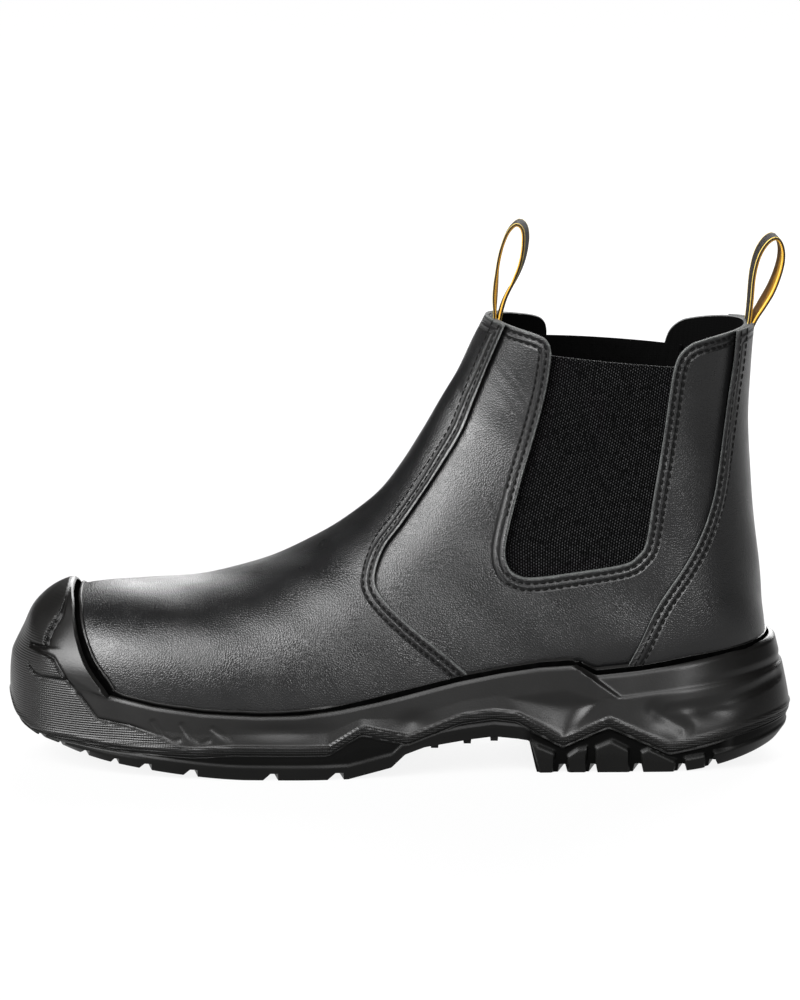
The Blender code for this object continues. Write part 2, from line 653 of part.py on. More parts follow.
main()
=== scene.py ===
"""Looks of the elastic-sided safety boot, laid out as a Blender add-on.

The boot stands on z = 0 with its toe towards -X and its outer side towards -Y. Tables and lengths in the
functions are in millimetres, as in the part's source; make_piece turns them into metres.
"""

import math
from collections import namedtuple

import bmesh
import bpy
import numpy as np
from bpy.props import FloatProperty, FloatVectorProperty, IntProperty, PointerProperty
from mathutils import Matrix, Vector
from mathutils.bvhtree import BVHTree
from mathutils.kdtree import KDTree


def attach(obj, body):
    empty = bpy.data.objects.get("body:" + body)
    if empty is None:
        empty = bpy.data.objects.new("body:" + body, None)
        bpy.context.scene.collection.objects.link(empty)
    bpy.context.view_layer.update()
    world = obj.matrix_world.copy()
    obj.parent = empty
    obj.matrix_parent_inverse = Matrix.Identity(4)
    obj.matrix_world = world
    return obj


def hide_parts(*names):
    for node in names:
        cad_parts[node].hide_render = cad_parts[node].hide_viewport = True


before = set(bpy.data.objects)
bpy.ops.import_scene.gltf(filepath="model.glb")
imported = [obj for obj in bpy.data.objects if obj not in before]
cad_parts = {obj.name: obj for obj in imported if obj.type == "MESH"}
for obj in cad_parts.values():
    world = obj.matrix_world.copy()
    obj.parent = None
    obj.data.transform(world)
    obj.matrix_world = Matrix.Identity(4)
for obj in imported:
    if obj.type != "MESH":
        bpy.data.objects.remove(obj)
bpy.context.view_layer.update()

bl_info = {
    "name": "Safety boot",
    "version": (1, 0, 0),
    "blender": (4, 5, 0),
    "location": "View3D > Sidebar > Boot",
    "description": "Builds the looks of an elastic-sided safety boot over its CAD part",
    "category": "Object",
}

MM = 0.001

# ---------------------------------------------------------------- shape tables, as in the part's source

BOOT_LENGTH = 312.0
OVERLAY = 1.6
UPPER_WALL = 2.4
GAP = 0.3
GORE_THICKNESS = 1.5
GORE_TUCK = 6.0
INSOLE_THICKNESS = 4.5
TOE_CAP_THICKNESS = 3.6
TOE_CAP_FOOT_THICKNESS = 6.4
TOE_CAP_SWELL = (60.0, 38.0)
UPPER_DEPTH = OVERLAY + GAP
GORE_DEPTH = UPPER_DEPTH + UPPER_WALL + GAP
INSOLE_DEPTH = UPPER_DEPTH + UPPER_WALL + 2 * GAP
LOOP_WIDTH = 17.0
LOOP_THICKNESS = 1.3
LOOP_CENTRE_Y = 1.0
FAR = 190.0

Section = namedtuple("Section", "front_x front_z back_x back_z swing outer inner belly low high")
LAST = [
    Section(-149.4, 38.0, -149.4, 38.0, 6.0, 6.0, 6.0, 0.40, 2.3, 2.2),
    Section(-147.8, 47.3, -147.8, 30.0, 6.0, -6.8, 18.4, 0.40, 2.4, 2.2),
    Section(-143.0, 57.2, -143.0, 23.5, 5.8, -18.6, 27.8, 0.37, 2.7, 2.3),
    Section(-133.6, 64.2, -133.6, 19.0, 5.5, -28.8, 35.6, 0.33, 3.0, 2.4),
    Section(-118.5, 67.3, -118.5, 16.5, 5.0, -37.2, 41.4, 0.30, 3.2, 2.4),
    Section(-99.0, 68.6, -99.0, 14.5, 4.5, -43.2, 45.6, 0.29, 3.2, 2.4),
    Section(-77.0, 70.8, -77.0, 13.0, 4.0, -46.8, 48.2, 0.28, 3.2, 2.3),
    Section(-53.5, 77.5, -53.0, 12.5, 3.5, -48.4, 48.2, 0.27, 3.2, 2.1),
    Section(-31.0, 88.4, -27.0, 14.0, 3.0, -48.0, 45.4, 0.25, 3.2, 2.0),
    Section(-12.5, 101.3, 3.0, 17.5, 2.5, -44.8, 41.4, 0.24, 3.2, 2.0),
    Section(0.0, 115.8, 38.0, 22.5, 2.0, -40.2, 37.8, 0.25, 3.2, 2.1),
    Section(8.5, 129.6, 80.0, 26.5, 1.5, -36.8, 37.0, 0.29, 3.2, 2.2),
    Section(14.2, 139.4, 121.0, 28.5, 1.0, -35.6, 37.0, 0.33, 2.8, 2.2),
    Section(18.6, 147.2, 144.0, 41.0, 1.0, -35.4, 37.0, 0.36, 2.4, 2.1),
    Section(22.6, 154.4, 144.2, 65.0, 1.0, -35.6, 37.2, 0.38, 2.2, 2.1),
    Section(27.0, 163.2, 141.2, 94.0, 1.0, -36.4, 38.0, 0.42, 2.2, 2.1),
    Section(31.2, 171.8, 138.4, 126.0, 1.0, -37.6, 39.4, 0.46, 2.2, 2.1),
    Section(35.6, 181.0, 138.8, 158.0, 1.0, -39.2, 41.0, 0.48, 2.2, 2.1),
    Section(40.4, 191.4, 142.0, 190.0, 1.0, -40.0, 41.8, 0.49, 2.2, 2.1),
]

Station = namedtuple("Station", "x outer inner")
SOLE_OUTLINE = [
    Station(-BOOT_LENGTH / 2, 6.0, 6.0),
    Station(-153.9, -9.4, 21.0),
    Station(-147.8, -22.2, 31.6),
    Station(-137.4, -33.2, 40.0),
    Station(-121.0, -42.2, 46.2),
    Station(-101.0, -48.8, 51.0),
    Station(-80.0, -52.4, 53.6),
    Station(-57.0, -53.9, 54.0),
    Station(-34.0, -54.0, 51.4),
    Station(-10.0, -50.6, 47.2),
    Station(14.0, -46.2, 43.4),
    Station(40.0, -42.4, 41.4),
    Station(66.0, -40.8, 41.0),
    Station(92.0, -40.2, 41.2),
    Station(114.0, -38.8, 40.2),
    Station(131.0, -34.0, 36.0),
    Station(144.8, -25.6, 27.8),
    Station(153.4, -13.8, 15.8),
    Station(BOOT_LENGTH / 2, 1.0, 1.0),
]

INSOLE_SEAT = [
    (-FAR, 27.5), (-150.0, 24.5), (-110.0, 19.5), (-80.0, 16.5), (-55.0, 15.5), (-30.0, 17.0),
    (-5.0, 20.5), (20.0, 25.0), (45.0, 28.5), (70.0, 30.5), (100.0, 31.5), (FAR, 33.0),
]
SOLE_LIP = [
    (-155.0, 39.0), (-114.0, 31.6), (-97.0, 28.4), (-78.0, 26.2), (-55.0, 25.2), (-39.0, 25.6),
    (-23.0, 27.6), (-8.0, 30.4), (8.0, 34.0), (23.0, 37.4), (39.0, 40.2), (55.0, 42.4), (69.6, 43.2),
    (77.0, 38.4), (94.0, 40.2), (117.0, 43.6), (133.0, 46.0), (155.0, 49.0),
]
OUTSOLE_TOP = [
    (-156.0, 25.0), (-152.6, 18.5), (-146.0, 15.2), (-128.0, 14.2), (-111.0, 12.6), (-80.0, 11.4),
    (-65.0, 12.6), (-28.0, 12.6), (-15.0, 20.4), (3.0, 15.8), (24.0, 23.4), (37.0, 24.8), (46.0, 23.4),
    (64.0, 13.4), (82.0, 21.4), (106.0, 10.4), (120.0, 13.0), (136.0, 16.8), (155.0, 20.5),
]
ARCH = [
    (-20.0, 0.0), (-3.0, 4.0), (2.4, 9.0), (10.0, 11.6), (27.0, 14.0), (37.0, 15.0), (47.0, 13.8),
    (51.0, 12.8), (54.0, 0.0),
]
TOE_SPRING = 12.5
TOE_SPRING_FROM = -60.0
HEEL_BEVEL = 9.0
HEEL_BEVEL_FROM = 106.0
EDGE_INSET = 2.0
TOE_EDGE_INSET = 7.5
HEEL_EDGE_INSET = 4.5
RIM_WIDTH = 6.0
SEAT_THICKNESS = 5.0
HEEL_TURN = (108.0, 150.0)
TOE_TURN = (-112.0, -150.0)

Groove = namedtuple("Groove", "x width depth")
CROSS_GROOVES = [
    Groove(-140.4, 2.2, 6.0), Groove(-132.7, 2.4, 5.4), Groove(-122.8, 2.4, 4.2), Groove(-111.0, 2.4, 3.6),
    Groove(-98.5, 3.6, 4.2), Groove(-80.5, 4.0, 4.6), Groove(-49.0, 4.0, 4.6),
    Groove(-23.5, 4.4, 4.6), Groove(63.3, 3.2, 5.4), Groove(75.5, 3.2, 5.4),
    Groove(93.2, 3.8, 5.4), Groove(110.6, 3.4, 4.8), Groove(122.8, 3.4, 4.6),
]
Channel = namedtuple("Channel", "start end y")
LONG_CHANNELS = [Channel(-128.0, -18.0, -16.0), Channel(-128.0, -18.0, 21.0), Channel(58.0, 128.0, 1.0)]
CHANNEL_WIDTH = 4.4
CHANNEL_DEPTH = 4.2
GROOVE_DRAFT = 2.2
FRONT_GROOVE_DRAFT = (5.0, 1.4)
CHEVRON = 9.0
GROOVE_SHARE = (0.72, 0.62)
ARCH_RIBS = (13.6, 26.4, 37.0)

COLLAR_FRONT = [(30.0, 177.4), (46.0, 174.0), (53.6, 172.2), (57.2, 170.2), (58.8, 166.6)]
GORE_FRONT = [(58.4, 160.0), (56.4, 148.0), (52.4, 132.0), (47.4, 114.6), (43.0, 97.4), (41.2, 87.6)]
GORE_FOOT = [
    (42.4, 81.4), (46.2, 77.8), (53.0, 76.8), (70.0, 79.0), (87.6, 82.0), (93.6, 85.8), (96.6, 91.4),
]
GORE_BACK = [(99.2, 109.0), (102.8, 132.6), (105.4, 152.4), (106.8, 160.4)]
COLLAR_BACK = [(108.8, 165.4), (112.4, 168.8), (117.0, 170.6), (129.0, 172.8), (150.0, 175.4)]
VAMP_SEAM = [
    (41.6, 176.4), (34.6, 159.4), (28.7, 144.3), (23.4, 131.6), (12.4, 114.0), (1.2, 98.0), (-6.6, 87.8),
    (-10.0, 77.4), (-7.4, 70.6), (3.0, 60.2), (20.4, 45.4), (40.0, 27.0),
]
COUNTER_SEAM = [
    (131.6, 174.0), (130.6, 161.4), (128.9, 149.8), (127.4, 138.0), (125.3, 122.4), (122.7, 107.0),
    (117.9, 93.2), (111.8, 82.0), (101.2, 66.0), (93.4, 49.4), (79.0, 21.0),
]

# ---------------------------------------------------------------- detail tables, read from the side view

# The toe cap's rim, from the top down to the sole's lip
CAP_RIM = [(-131.2, 72.0), (-130.8, 68.4), (-129.8, 64.8), (-129.2, 60.0), (-127.4, 52.2), (-123.2, 42.4),
           (-114.7, 31.2)]
CAP_FOOT = [(-156.0, 41.0), (-146.0, 39.0), (-130.0, 35.0), (-114.7, 31.2)]

# Lip of the sole at the waist, round the heel and at the forefoot, and rim of the toe cap: share of the way in to
# the leather, and height along the leather. All drop into a gutter painted black as shade, and the black runs up
# the leather's foot as a painted shadow; a bead follows it at the front.
LipRow = namedtuple("LipRow", "share rise")
LIP_WAIST = [
    LipRow(0.0, 0.0), LipRow(0.10, 0.12), LipRow(0.20, 0.05), LipRow(0.25, -0.8), LipRow(0.30, -3.0),
    LipRow(0.95, -3.2), LipRow(0.97, 1.6), LipRow(1.25, 1.7), LipRow(1.6, 1.8), LipRow(1.9, 1.9),
    LipRow(2.1, 1.9),
]
LIP_HEEL = [
    LipRow(0.0, 0.0), LipRow(0.28, 0.12), LipRow(0.56, 0.05), LipRow(0.61, -0.8), LipRow(0.64, -3.0),
    *LIP_WAIST[5:],
]
LIP_FOREFOOT = [
    LipRow(0.0, 0.0), LipRow(0.14, 0.12), LipRow(0.30, 0.05), LipRow(0.36, -0.8), LipRow(0.42, -3.0),
    LipRow(0.95, -3.2), LipRow(0.97, 0.1), LipRow(0.92, 0.2), LipRow(0.88, 0.7), LipRow(0.92, 1.2),
    LipRow(1.14, 1.35),
]
CAP_RIM_ROWS = [
    LipRow(0.0, 0.0), LipRow(0.10, 0.25), LipRow(0.30, 0.55), LipRow(0.45, 0.60), LipRow(0.93, 0.9),
    LipRow(0.98, 1.4), LipRow(0.97, 2.1), LipRow(0.92, 2.2), LipRow(0.87, 2.7), LipRow(0.92, 3.2),
    LipRow(1.14, 3.35),
]
# Rows of the lip whose faces take the gutter's black: painted shade
GUTTER_SHADE_ROWS = (3, 4, 5)
# Chamfer of the lip: how far it goes in, its height, and how much deeper it is at the heel
LIP_CHAMFER = (0.6, 1.2)
HEEL_CHAMFER = 0.4

# How far the sole's wall stands in at shares of its height, at the forefoot and at the waist
WALL_SHARES = (0.0, 0.05, 0.12, 0.45, 1.0)
WALL_FOREFOOT = (0.0, 0.0, 0.5, 1.4, 1.5)
WALL_WAIST = (0.0, 0.0, 0.4, 0.7, 0.7)
# The same round the heel, at the raised line and at the lip: at the sides, and how much more at the very back
HEEL_CREST = (0.9, 2.4)
HEEL_TOP = (2.2, 4.0)
# How far the toe's front lies back, at which height, and over which half height
NOSE_BACK = (1.8, 48.0, 9.0)

# The raised line round the heel, and the step in front of it
HEEL_LINE = [(60.0, 27.2), (86.4, 30.0), (102.1, 31.9), (117.9, 33.4), (132.0, 35.0), (146.7, 36.8), (156.0, 38.0)]
FIN_EDGE = ((70.2, 42.0), (86.6, 30.2))

# Rear edge of the raised, knurled panel on the nose and toe cap, from the top down
KNURL_EDGE = [
    (-130.5, 72.0), (-131.8, 67.0), (-133.5, 63.8), (-134.4, 60.7), (-137.8, 56.1), (-139.7, 52.0),
    (-140.4, 48.8), (-146.4, 48.2), (-146.8, 46.6), (-141.8, 45.8), (-136.7, 44.2), (-134.2, 40.5),
    (-131.9, 37.3), (-129.6, 34.5), (-127.5, 32.2), (-123.1, 26.7), (-119.3, 21.8), (-112.0, 20.6),
    (-105.7, 19.6), (-93.8, 16.4), (-84.0, 12.2), (-80.0, 10.0),
]
# Rows of beads along that edge
BEAD_LINES = [
    [(-132.9, 64.6), (-134.2, 61.0), (-137.4, 56.3), (-139.3, 52.2), (-140.2, 49.0)],
    [(-137.2, 44.0), (-134.6, 40.4), (-132.5, 37.8)],
    [(-147.0, 41.0), (-146.6, 38.8), (-145.2, 37.4)],
]

# Soft hollows in the sole's wall: middle, half sizes along and up, depth
Hollow = namedtuple("Hollow", "x z half_x half_z depth")
SOLE_HOLLOWS = [
    Hollow(-46.0, 19.6, 14.0, 2.7, 1.3), Hollow(5.6, 22.4, 5.4, 3.2, 1.0),
    Hollow(104.0, 21.0, 6.4, 5.0, 1.0), Hollow(124.0, 23.6, 8.0, 3.4, 1.9),
]
# The soft furrow in it in front of the heel's end: line, half width, depth at the line's start and end
Furrow = namedtuple("Furrow", "line width start end")
HEEL_FURROW = Furrow([(99.5, 25.4), (112.0, 17.6)], 2.8, 0.9, 1.3)

# Shapes with an outline: corners of a convex shape, how far its floor slopes up from each side, depth
Dent = namedtuple("Dent", "corners slopes depth")
# The wedge-shaped hollow in front of the heel, and how sharp its creases are
HEEL_WEDGE = Dent([(40.0, 31.0), (52.0, 17.0), (63.6, 13.0), (67.6, 15.6), (79.0, 29.0), (64.0, 34.0)],
                  (22.0, 16.0, 10.0, 7.0, 7.0, 10.0), 2.8)
WEDGE_SHARPNESS = 6
# Height of the lugs' faces in front of the heel
LUG_HEIGHT = 5.2
# Raised faces of the heel's lugs
HEEL_LUGS = [
    Dent([(51.0, 14.0), (61.4, 9.4), (60.4, -1.0), (55.0, -1.0)], (2.4, 0.7, 0.5, 0.7), 1.0),
    Dent([(65.4, 8.0), (69.4, 10.8), (74.0, 11.6), (73.4, -1.0), (66.4, -1.0)], (2.4, 2.4, 0.7, 0.5, 0.7), 1.0),
    Dent([(76.6, -1.0), (76.6, 11.4), (83.3, 14.2), (90.2, 10.6), (90.8, -1.0)], (0.7, 2.2, 2.2, 0.7, 0.5), 1.0),
    Dent([(95.0, -1.0), (94.6, 9.4), (98.0, 11.0), (109.4, 5.4), (108.4, -1.0)], (0.7, 2.2, 2.2, 0.7, 0.5), 1.0),
    Dent([(112.6, -1.0), (111.6, 6.6), (120.6, 7.8), (121.6, -1.0)], (0.7, 2.2, 0.7, 0.5), 1.0),
    Dent([(124.4, -1.0), (123.6, 8.6), (160.0, 12.0), (160.0, -1.0)], (0.7, 2.2, 0.7, 0.5), 1.0),
]
# The tread's edge: shares of its height, and the share of the full inset there
TREAD_SHARES = (0.0, 0.06, 0.36, 0.6, 1.0)
TREAD_INSETS = (1.0, 0.86, 0.30, 0.12, 0.0)
# How far in lie the ledge over the front lugs, the wall between the heel's lugs and the band round the toe
LUG_LEDGE = 0.7
LUG_RECESS = 1.5
TOE_BAND = 1.5
# A rib under the arch: half width at its top and foot, drop below the arch, height, ends across the boot
RIB_HALF_WIDTHS = (2.0, 1.4)
RIB_DROP = 1.8
RIB_HEIGHT = 5.4
RIB_ENDS = (-40.4, 39.4)

# Short slanting marks near the front of the sole and a long one round the heel: line, half width and depth
Mark = namedtuple("Mark", "line width depth")
SOLE_MARKS = [
    Mark([(-96.6, 22.5), (-92.6, 16.8), (-89.1, 14.6), (-86.7, 15.5)], 1.5, 0.5),
    Mark([(-85.2, 21.7), (-82.0, 17.1), (-78.5, 13.8), (-75.0, 15.4)], 1.5, 0.5),
    Mark([(-73.0, 20.5), (-69.5, 18.1), (-65.6, 14.4)], 1.5, 0.5),
    Mark([(106.0, 25.4), (118.0, 26.6), (130.0, 28.4), (141.0, 31.0), (152.0, 34.0)], 2.4, 0.6),
]
# Groove under the tongue of the knurled panel, also darkened there with painted shade
TONGUE_FOOT = Mark([(-146.4, 39.4), (-144.6, 37.5), (-141.1, 36.6), (-136.0, 36.7), (-131.8, 36.9)], 1.1, 0.9)
# Unevenness of the leather: heights of a slow and a shorter wave, and a swelling over the heel, given like a hollow
LEATHER_WAVES = (0.16, 0.10)
HEEL_SWELLING = Hollow(92.0, 50.0, 30.0, 15.0, 1.8)
# Creases of the leather: ends in the side view, half width and depth
Crease = namedtuple("Crease", "start end width depth")
CREASES = [
    Crease((35.6, 160.0), (52.4, 137.0), 1.2, 0.15), Crease((39.6, 161.0), (54.0, 141.0), 1.1, 0.10),
    Crease((36.0, 152.0), (50.0, 131.0), 1.5, 0.09), Crease((22.6, 150.6), (26.6, 137.0), 1.3, 0.18),
    Crease((18.6, 144.0), (23.0, 131.0), 1.4, 0.14),
]

# How far the leather goes down behind the sole's lip
LIP_TUCK = 9.0
# Distances of the two rows of stitches from the edge they follow, and the stretch along the collar that has them
STITCH_ROWS = (2.0, 4.6)
COLLAR_STITCHES = (42.0, 131.0)
# A point inside the shaft, the collar's usual height, and the stretch that shows the collar well from the side
SHAFT_MIDDLE = (88.0, 1.0)
COLLAR_TOP = 174.0
COLLAR_SIDE = (44.0, 119.0)
# The elastic panels' front and back edges: a point below the window that leads each one down, and its heights
GORE_LEADS = ((37.0, 60.0), (97.0, 60.0))
GORE_FRONT_HEIGHTS = (71.0, 164.6)
GORE_BACK_HEIGHTS = (75.4, 159.8)
INSOLE_SPAN = (-135.0, 133.0)

# How the pull loops hang: middle of the tape, from the foot in front round to the foot behind
FRONT_LOOP = [
    (36.0, 165.0), (36.8, 170.6), (37.5, 177.0), (37.6, 184.0), (38.3, 193.5), (39.9, 202.0), (42.4, 208.8),
    (45.2, 212.4), (47.4, 212.9), (49.2, 210.4), (49.5, 205.0), (48.2, 197.6), (45.4, 190.4), (42.0, 184.0),
    (39.8, 177.6), (38.6, 170.6), (37.8, 165.0),
]
BACK_LOOP = [
    (135.6, 164.0), (136.5, 169.5), (137.6, 174.6), (138.3, 181.6), (139.1, 192.0), (140.7, 199.4),
    (143.2, 204.4), (146.2, 207.2), (148.6, 207.0), (150.2, 203.6), (150.4, 199.0), (149.2, 193.4),
    (146.6, 186.6), (143.2, 180.6), (140.3, 175.8), (138.2, 170.5), (137.2, 164.0),
]
# How far the tape is twisted along the way, in degrees
FRONT_TWIST = (-7.0, -7.0, -2.5, -4.0, -8.0, -7.0, -3.0, -2.0)
BACK_TWIST = (1.0, 1.0, 1.0, 1.5, 2.0, 3.5, 5.5, 4.0)

# A side-view line is looked up on a form from this far out; a place this far past the middle is on the other side
LOOK_FROM = 220.0
PAST_MIDDLE = 12.0
# A point inside the toe, from which the toe cap's surface is looked up
TOE_HUB = np.array([-112.0, 5.0, 29.0])

# How fine the meshes are
SOLE_STATIONS = 1040
WALL_LOW_ROWS = 24
WALL_HIGH_ROWS = 18
CAP_ROWS = 60
INNER_ROWS = 7
JOIN_ROWS = 7
JOIN_ROUNDS = 14
TREAD_STATIONS = 1200
TREAD_ROWS = 34
LEATHER_RINGS = 140
LEATHER_AROUND = 232
FIRST_RING = 0.15
TOE_RINGS = 24
TOE_RINGS_END = 6.0
GORE_ROWS = 64
GORE_RIB_STEPS = 5
INSOLE_ROWS = 110
INSOLE_ACROSS = 22

# ---------------------------------------------------------------- finishes and stage

# Roughness and sheen of the moulded sole unit and of the tread
SOLE_FINISH = (0.35, 0.22)
TREAD_FINISH = (0.40, 0.10)
# Colour and thread size, in metres, of the fabrics
LINING_FABRIC = ((0.0007, 0.0007, 0.0007), 0.0009)
INSOLE_FABRIC = ((0.020, 0.020, 0.021), 0.0012)

# The lights, in metres: where each one stands, where it aims and its size; the settings hold its power
Light = namedtuple("Light", "stands aim size")
LIGHTS = {
    "key": Light((-1.86, -1.77, 1.85), (0.0, 0.0, 0.08), (1.75, 2.4)),
    "fill": Light((1.05, -2.5, 1.35), (0.0, 0.0, 0.08), (0.5, 2.4)),
    "side": Light((-2.3, -0.65, 0.95), (-0.1, 0.0, 0.06), (0.8, 1.2)),
    "top": Light((0.25, -1.5, 2.1), (0.0, 0.0, 0.06), (1.0, 1.2)),
    "rim": Light((0.4, 1.6, 1.3), (0.0, 0.0, 0.10), (1.6, 0.8)),
    "back": Light((0.7, 2.6, 0.9), (0.0, 0.0, 0.08), (2.2, 1.2)),
}
# The floor glows as painted light, keeping it white and lighting the boot from below; it glows a little less near
# the boot, a painted shade round it: distances in metres, and the strength there
FLOOR_REACH = 6000.0
FLOOR_GLOW_SPAN = (0.3, 1.6)
FLOOR_GLOW = (0.875, 0.985)


# ---------------------------------------------------------------- settings

class BootLeatherSettings(bpy.types.PropertyGroup):
    colour: FloatVectorProperty(name="Colour", description="Colour of the leather", subtype="COLOR",
                                default=(0.0022, 0.0022, 0.0023), min=0, max=1)
    gloss: FloatProperty(name="Roughness", description="Roughness of the dressed face", default=0.31, min=0, max=1)
    grain: FloatProperty(name="Grain", description="Size of one grain cell", default=0.0009, unit="LENGTH")
    # The cut edge's colour also paints the leather's face paler near a cut edge: partly rubbed wear, partly a
    # painted highlight
    edge: FloatVectorProperty(name="Cut edge", description="Colour of a cut edge", subtype="COLOR",
                              default=(0.030, 0.032, 0.031), min=0, max=1)


class BootSoleSettings(bpy.types.PropertyGroup):
    colour: FloatVectorProperty(name="Sole colour", description="Colour of the moulded sole unit", subtype="COLOR",
                                default=(0.0018, 0.0017, 0.0016), min=0, max=1)
    tread: FloatVectorProperty(name="Tread colour", description="Colour of the outsole", subtype="COLOR",
                               default=(0.0011, 0.0011, 0.0010), min=0, max=1)
    bead: FloatProperty(name="Bead", description="Size of a bead on the toe cap", default=0.0009, unit="LENGTH")
    knurl: FloatProperty(name="Knurl", description="Pitch of the knurled panels", default=0.0009, unit="LENGTH")


class BootElasticSettings(bpy.types.PropertyGroup):
    ribs: IntProperty(name="Ribs", description="Ribs across one elastic panel", default=66, min=8, max=90)
    height: FloatProperty(name="Rib height", description="How far a rib stands up", default=0.00022, unit="LENGTH")
    colour: FloatVectorProperty(name="Elastic colour", description="Colour of the yarn", subtype="COLOR",
                                default=(0.0010, 0.0010, 0.0011), min=0, max=1)


class BootWebbingSettings(bpy.types.PropertyGroup):
    outside: FloatVectorProperty(name="Outside", description="Colour of the loop's outer face", subtype="COLOR",
                                 default=(0.0060, 0.0046, 0.0040), min=0, max=1)
    inside: FloatVectorProperty(name="Inside", description="Colour of the loop's inner face", subtype="COLOR",
                                default=(0.24, 0.118, 0.008), min=0, max=1)
    stripe: FloatVectorProperty(name="Edge line", description="Colour of the line near the tape's edges",
                                subtype="COLOR", default=(0.42, 0.30, 0.07), min=0, max=1)
    twist: FloatProperty(name="Twist", description="Share of each loop's own twist", default=1.0)


class BootStitchSettings(bpy.types.PropertyGroup):
    pitch: FloatProperty(name="Pitch", description="Distance from stitch to stitch", default=0.0030, unit="LENGTH")
    length: FloatProperty(name="Length", description="Length of one stitch", default=0.0024, unit="LENGTH")
    thread: FloatProperty(name="Thread", description="Thickness of the thread", default=0.0007, unit="LENGTH")
    first: FloatProperty(name="First row", description="First row's distance from the edge",
                         default=STITCH_ROWS[0] * MM, unit="LENGTH")
    second: FloatProperty(name="Second row", description="Second row's distance from the edge",
                          default=STITCH_ROWS[1] * MM, unit="LENGTH")
    colour: FloatVectorProperty(name="Thread colour", description="Colour of the thread", subtype="COLOR",
                                default=(0.0010, 0.0010, 0.0010), min=0, max=1)


class BootStageSettings(bpy.types.PropertyGroup):
    distance: FloatProperty(name="Distance", description="From the camera to the boot", default=1.9, unit="LENGTH")
    pitch: FloatProperty(name="Pitch", description="How far the camera looks down", default=math.radians(10.3),
                         subtype="ANGLE")
    height: FloatProperty(name="Aim height", description="Height of the point looked at", default=0.102,
                          unit="LENGTH")
    lens: FloatProperty(name="Lens", description="Focal length in millimetres", default=171.9)
    key: FloatProperty(name="Key light", description="Power of the light in front on the left", default=390.0,
                       unit="POWER")
    fill: FloatProperty(name="Fill light", description="Power of the light in front on the right", default=115.0,
                        unit="POWER")
    side: FloatProperty(name="Side light", description="Power of the light beside the toe", default=70.0,
                        unit="POWER")
    top: FloatProperty(name="Top light", description="Power of the light overhead", default=27.0, unit="POWER")
    rim: FloatProperty(name="Rim light", description="Power of the light behind", default=28.0, unit="POWER")
    back: FloatProperty(name="Back light", description="Power of the low light behind", default=60.0, unit="POWER")
    world: FloatProperty(name="Surroundings", description="Strength of the grey surroundings", default=0.03)


# ---------------------------------------------------------------- curves and forms

def through(values, t, even_start=False, even_end=False):
    """Value at row position t of a smooth curve through the values (Catmull-Rom)."""
    v = np.asarray(values, float)
    before = v[1] if even_start else 2 * v[0] - v[1]
    after = v[-2] if even_end else 2 * v[-1] - v[-2]
    v = np.concatenate([[before], v, [after]])
    i = np.clip(np.floor(t).astype(int), 0, len(v) - 4)
    f = t - i
    a, b, c, d = v[i], v[i + 1], v[i + 2], v[i + 3]
    return b + 0.5 * f * (c - a + f * (2 * a - 5 * b + 4 * c - d + f * (3 * (b - c) + d - a)))


def level(rows, x, soft=0.0):
    """Height of a table of (x, z) at x; soft rounds its corners over that length to either side."""
    xs, zs = zip(*rows)
    if not soft:
        return np.interp(x, xs, zs)
    shifts = np.linspace(-soft, soft, 7)
    return np.mean([np.interp(x + s, xs, zs) for s in shifts], axis=0)


def ease(x, turn):
    """0 before a turn and 1 after it, with a smooth change between."""
    f = np.clip((x - turn[0]) / (turn[1] - turn[0]), 0, 1)
    return f * f * (3 - 2 * f)


def smooth_line(points, steps):
    """A smooth curve through side-view points, with the given number of steps for each stretch."""
    t = np.linspace(0, len(points) - 1, steps * (len(points) - 1) + 1)
    return np.stack([through([p[0] for p in points], t), through([p[1] for p in points], t)], 1)


def even_line(line, step):
    """The same line with its points one step apart."""
    run = np.concatenate([[0], np.cumsum(np.linalg.norm(np.diff(line, axis=0), axis=1))])
    at = np.linspace(0, run[-1], max(2, int(round(run[-1] / step)) + 1))
    return np.stack([np.interp(at, run, line[:, k]) for k in range(line.shape[1])], 1)


def moved_line(line, distance):
    """A side-view line moved to its left by a distance."""
    ahead = np.gradient(line, axis=0)
    ahead /= np.linalg.norm(ahead, axis=1, keepdims=True)
    return line + distance * np.stack([-ahead[:, 1], ahead[:, 0]], 1)


def collar_line():
    return smooth_line(COLLAR_FRONT + GORE_FRONT + GORE_FOOT + GORE_BACK + COLLAR_BACK, 6)


def sole_ground(x):
    """Height of the tread's lowest surface at x."""
    toe = np.clip((TOE_SPRING_FROM - x) / (TOE_SPRING_FROM + BOOT_LENGTH / 2), 0, 1)
    heel = np.clip((x - HEEL_BEVEL_FROM) / (BOOT_LENGTH / 2 - HEEL_BEVEL_FROM), 0, 1)
    return level(ARCH, x) + TOE_SPRING * toe ** 1.5 + HEEL_BEVEL * heel ** 1.7


def skin_surface(t, angle):
    """Points of the lasted upper's skin at row position t and angle round the section."""
    row = {name: through([getattr(s, name) for s in LAST], t, name in ("front_x", "back_x"))
           for name in Section._fields}
    c, s = np.cos(angle), np.sin(angle)
    power = 2 / np.where(c > 0, row["low"], row["high"])
    reach = np.abs(c) ** power
    along = np.where(c > 0, row["belly"] * (1 - reach), row["belly"] + (1 - row["belly"]) * reach)
    widest = np.where(s > 0, row["outer"], row["inner"])
    x = row["back_x"] + along * (row["front_x"] - row["back_x"])
    y = row["swing"] + (widest - row["swing"]) * np.abs(s) ** power
    z = row["back_z"] + along * (row["front_z"] - row["back_z"])
    return np.stack([x, y, z], -1)


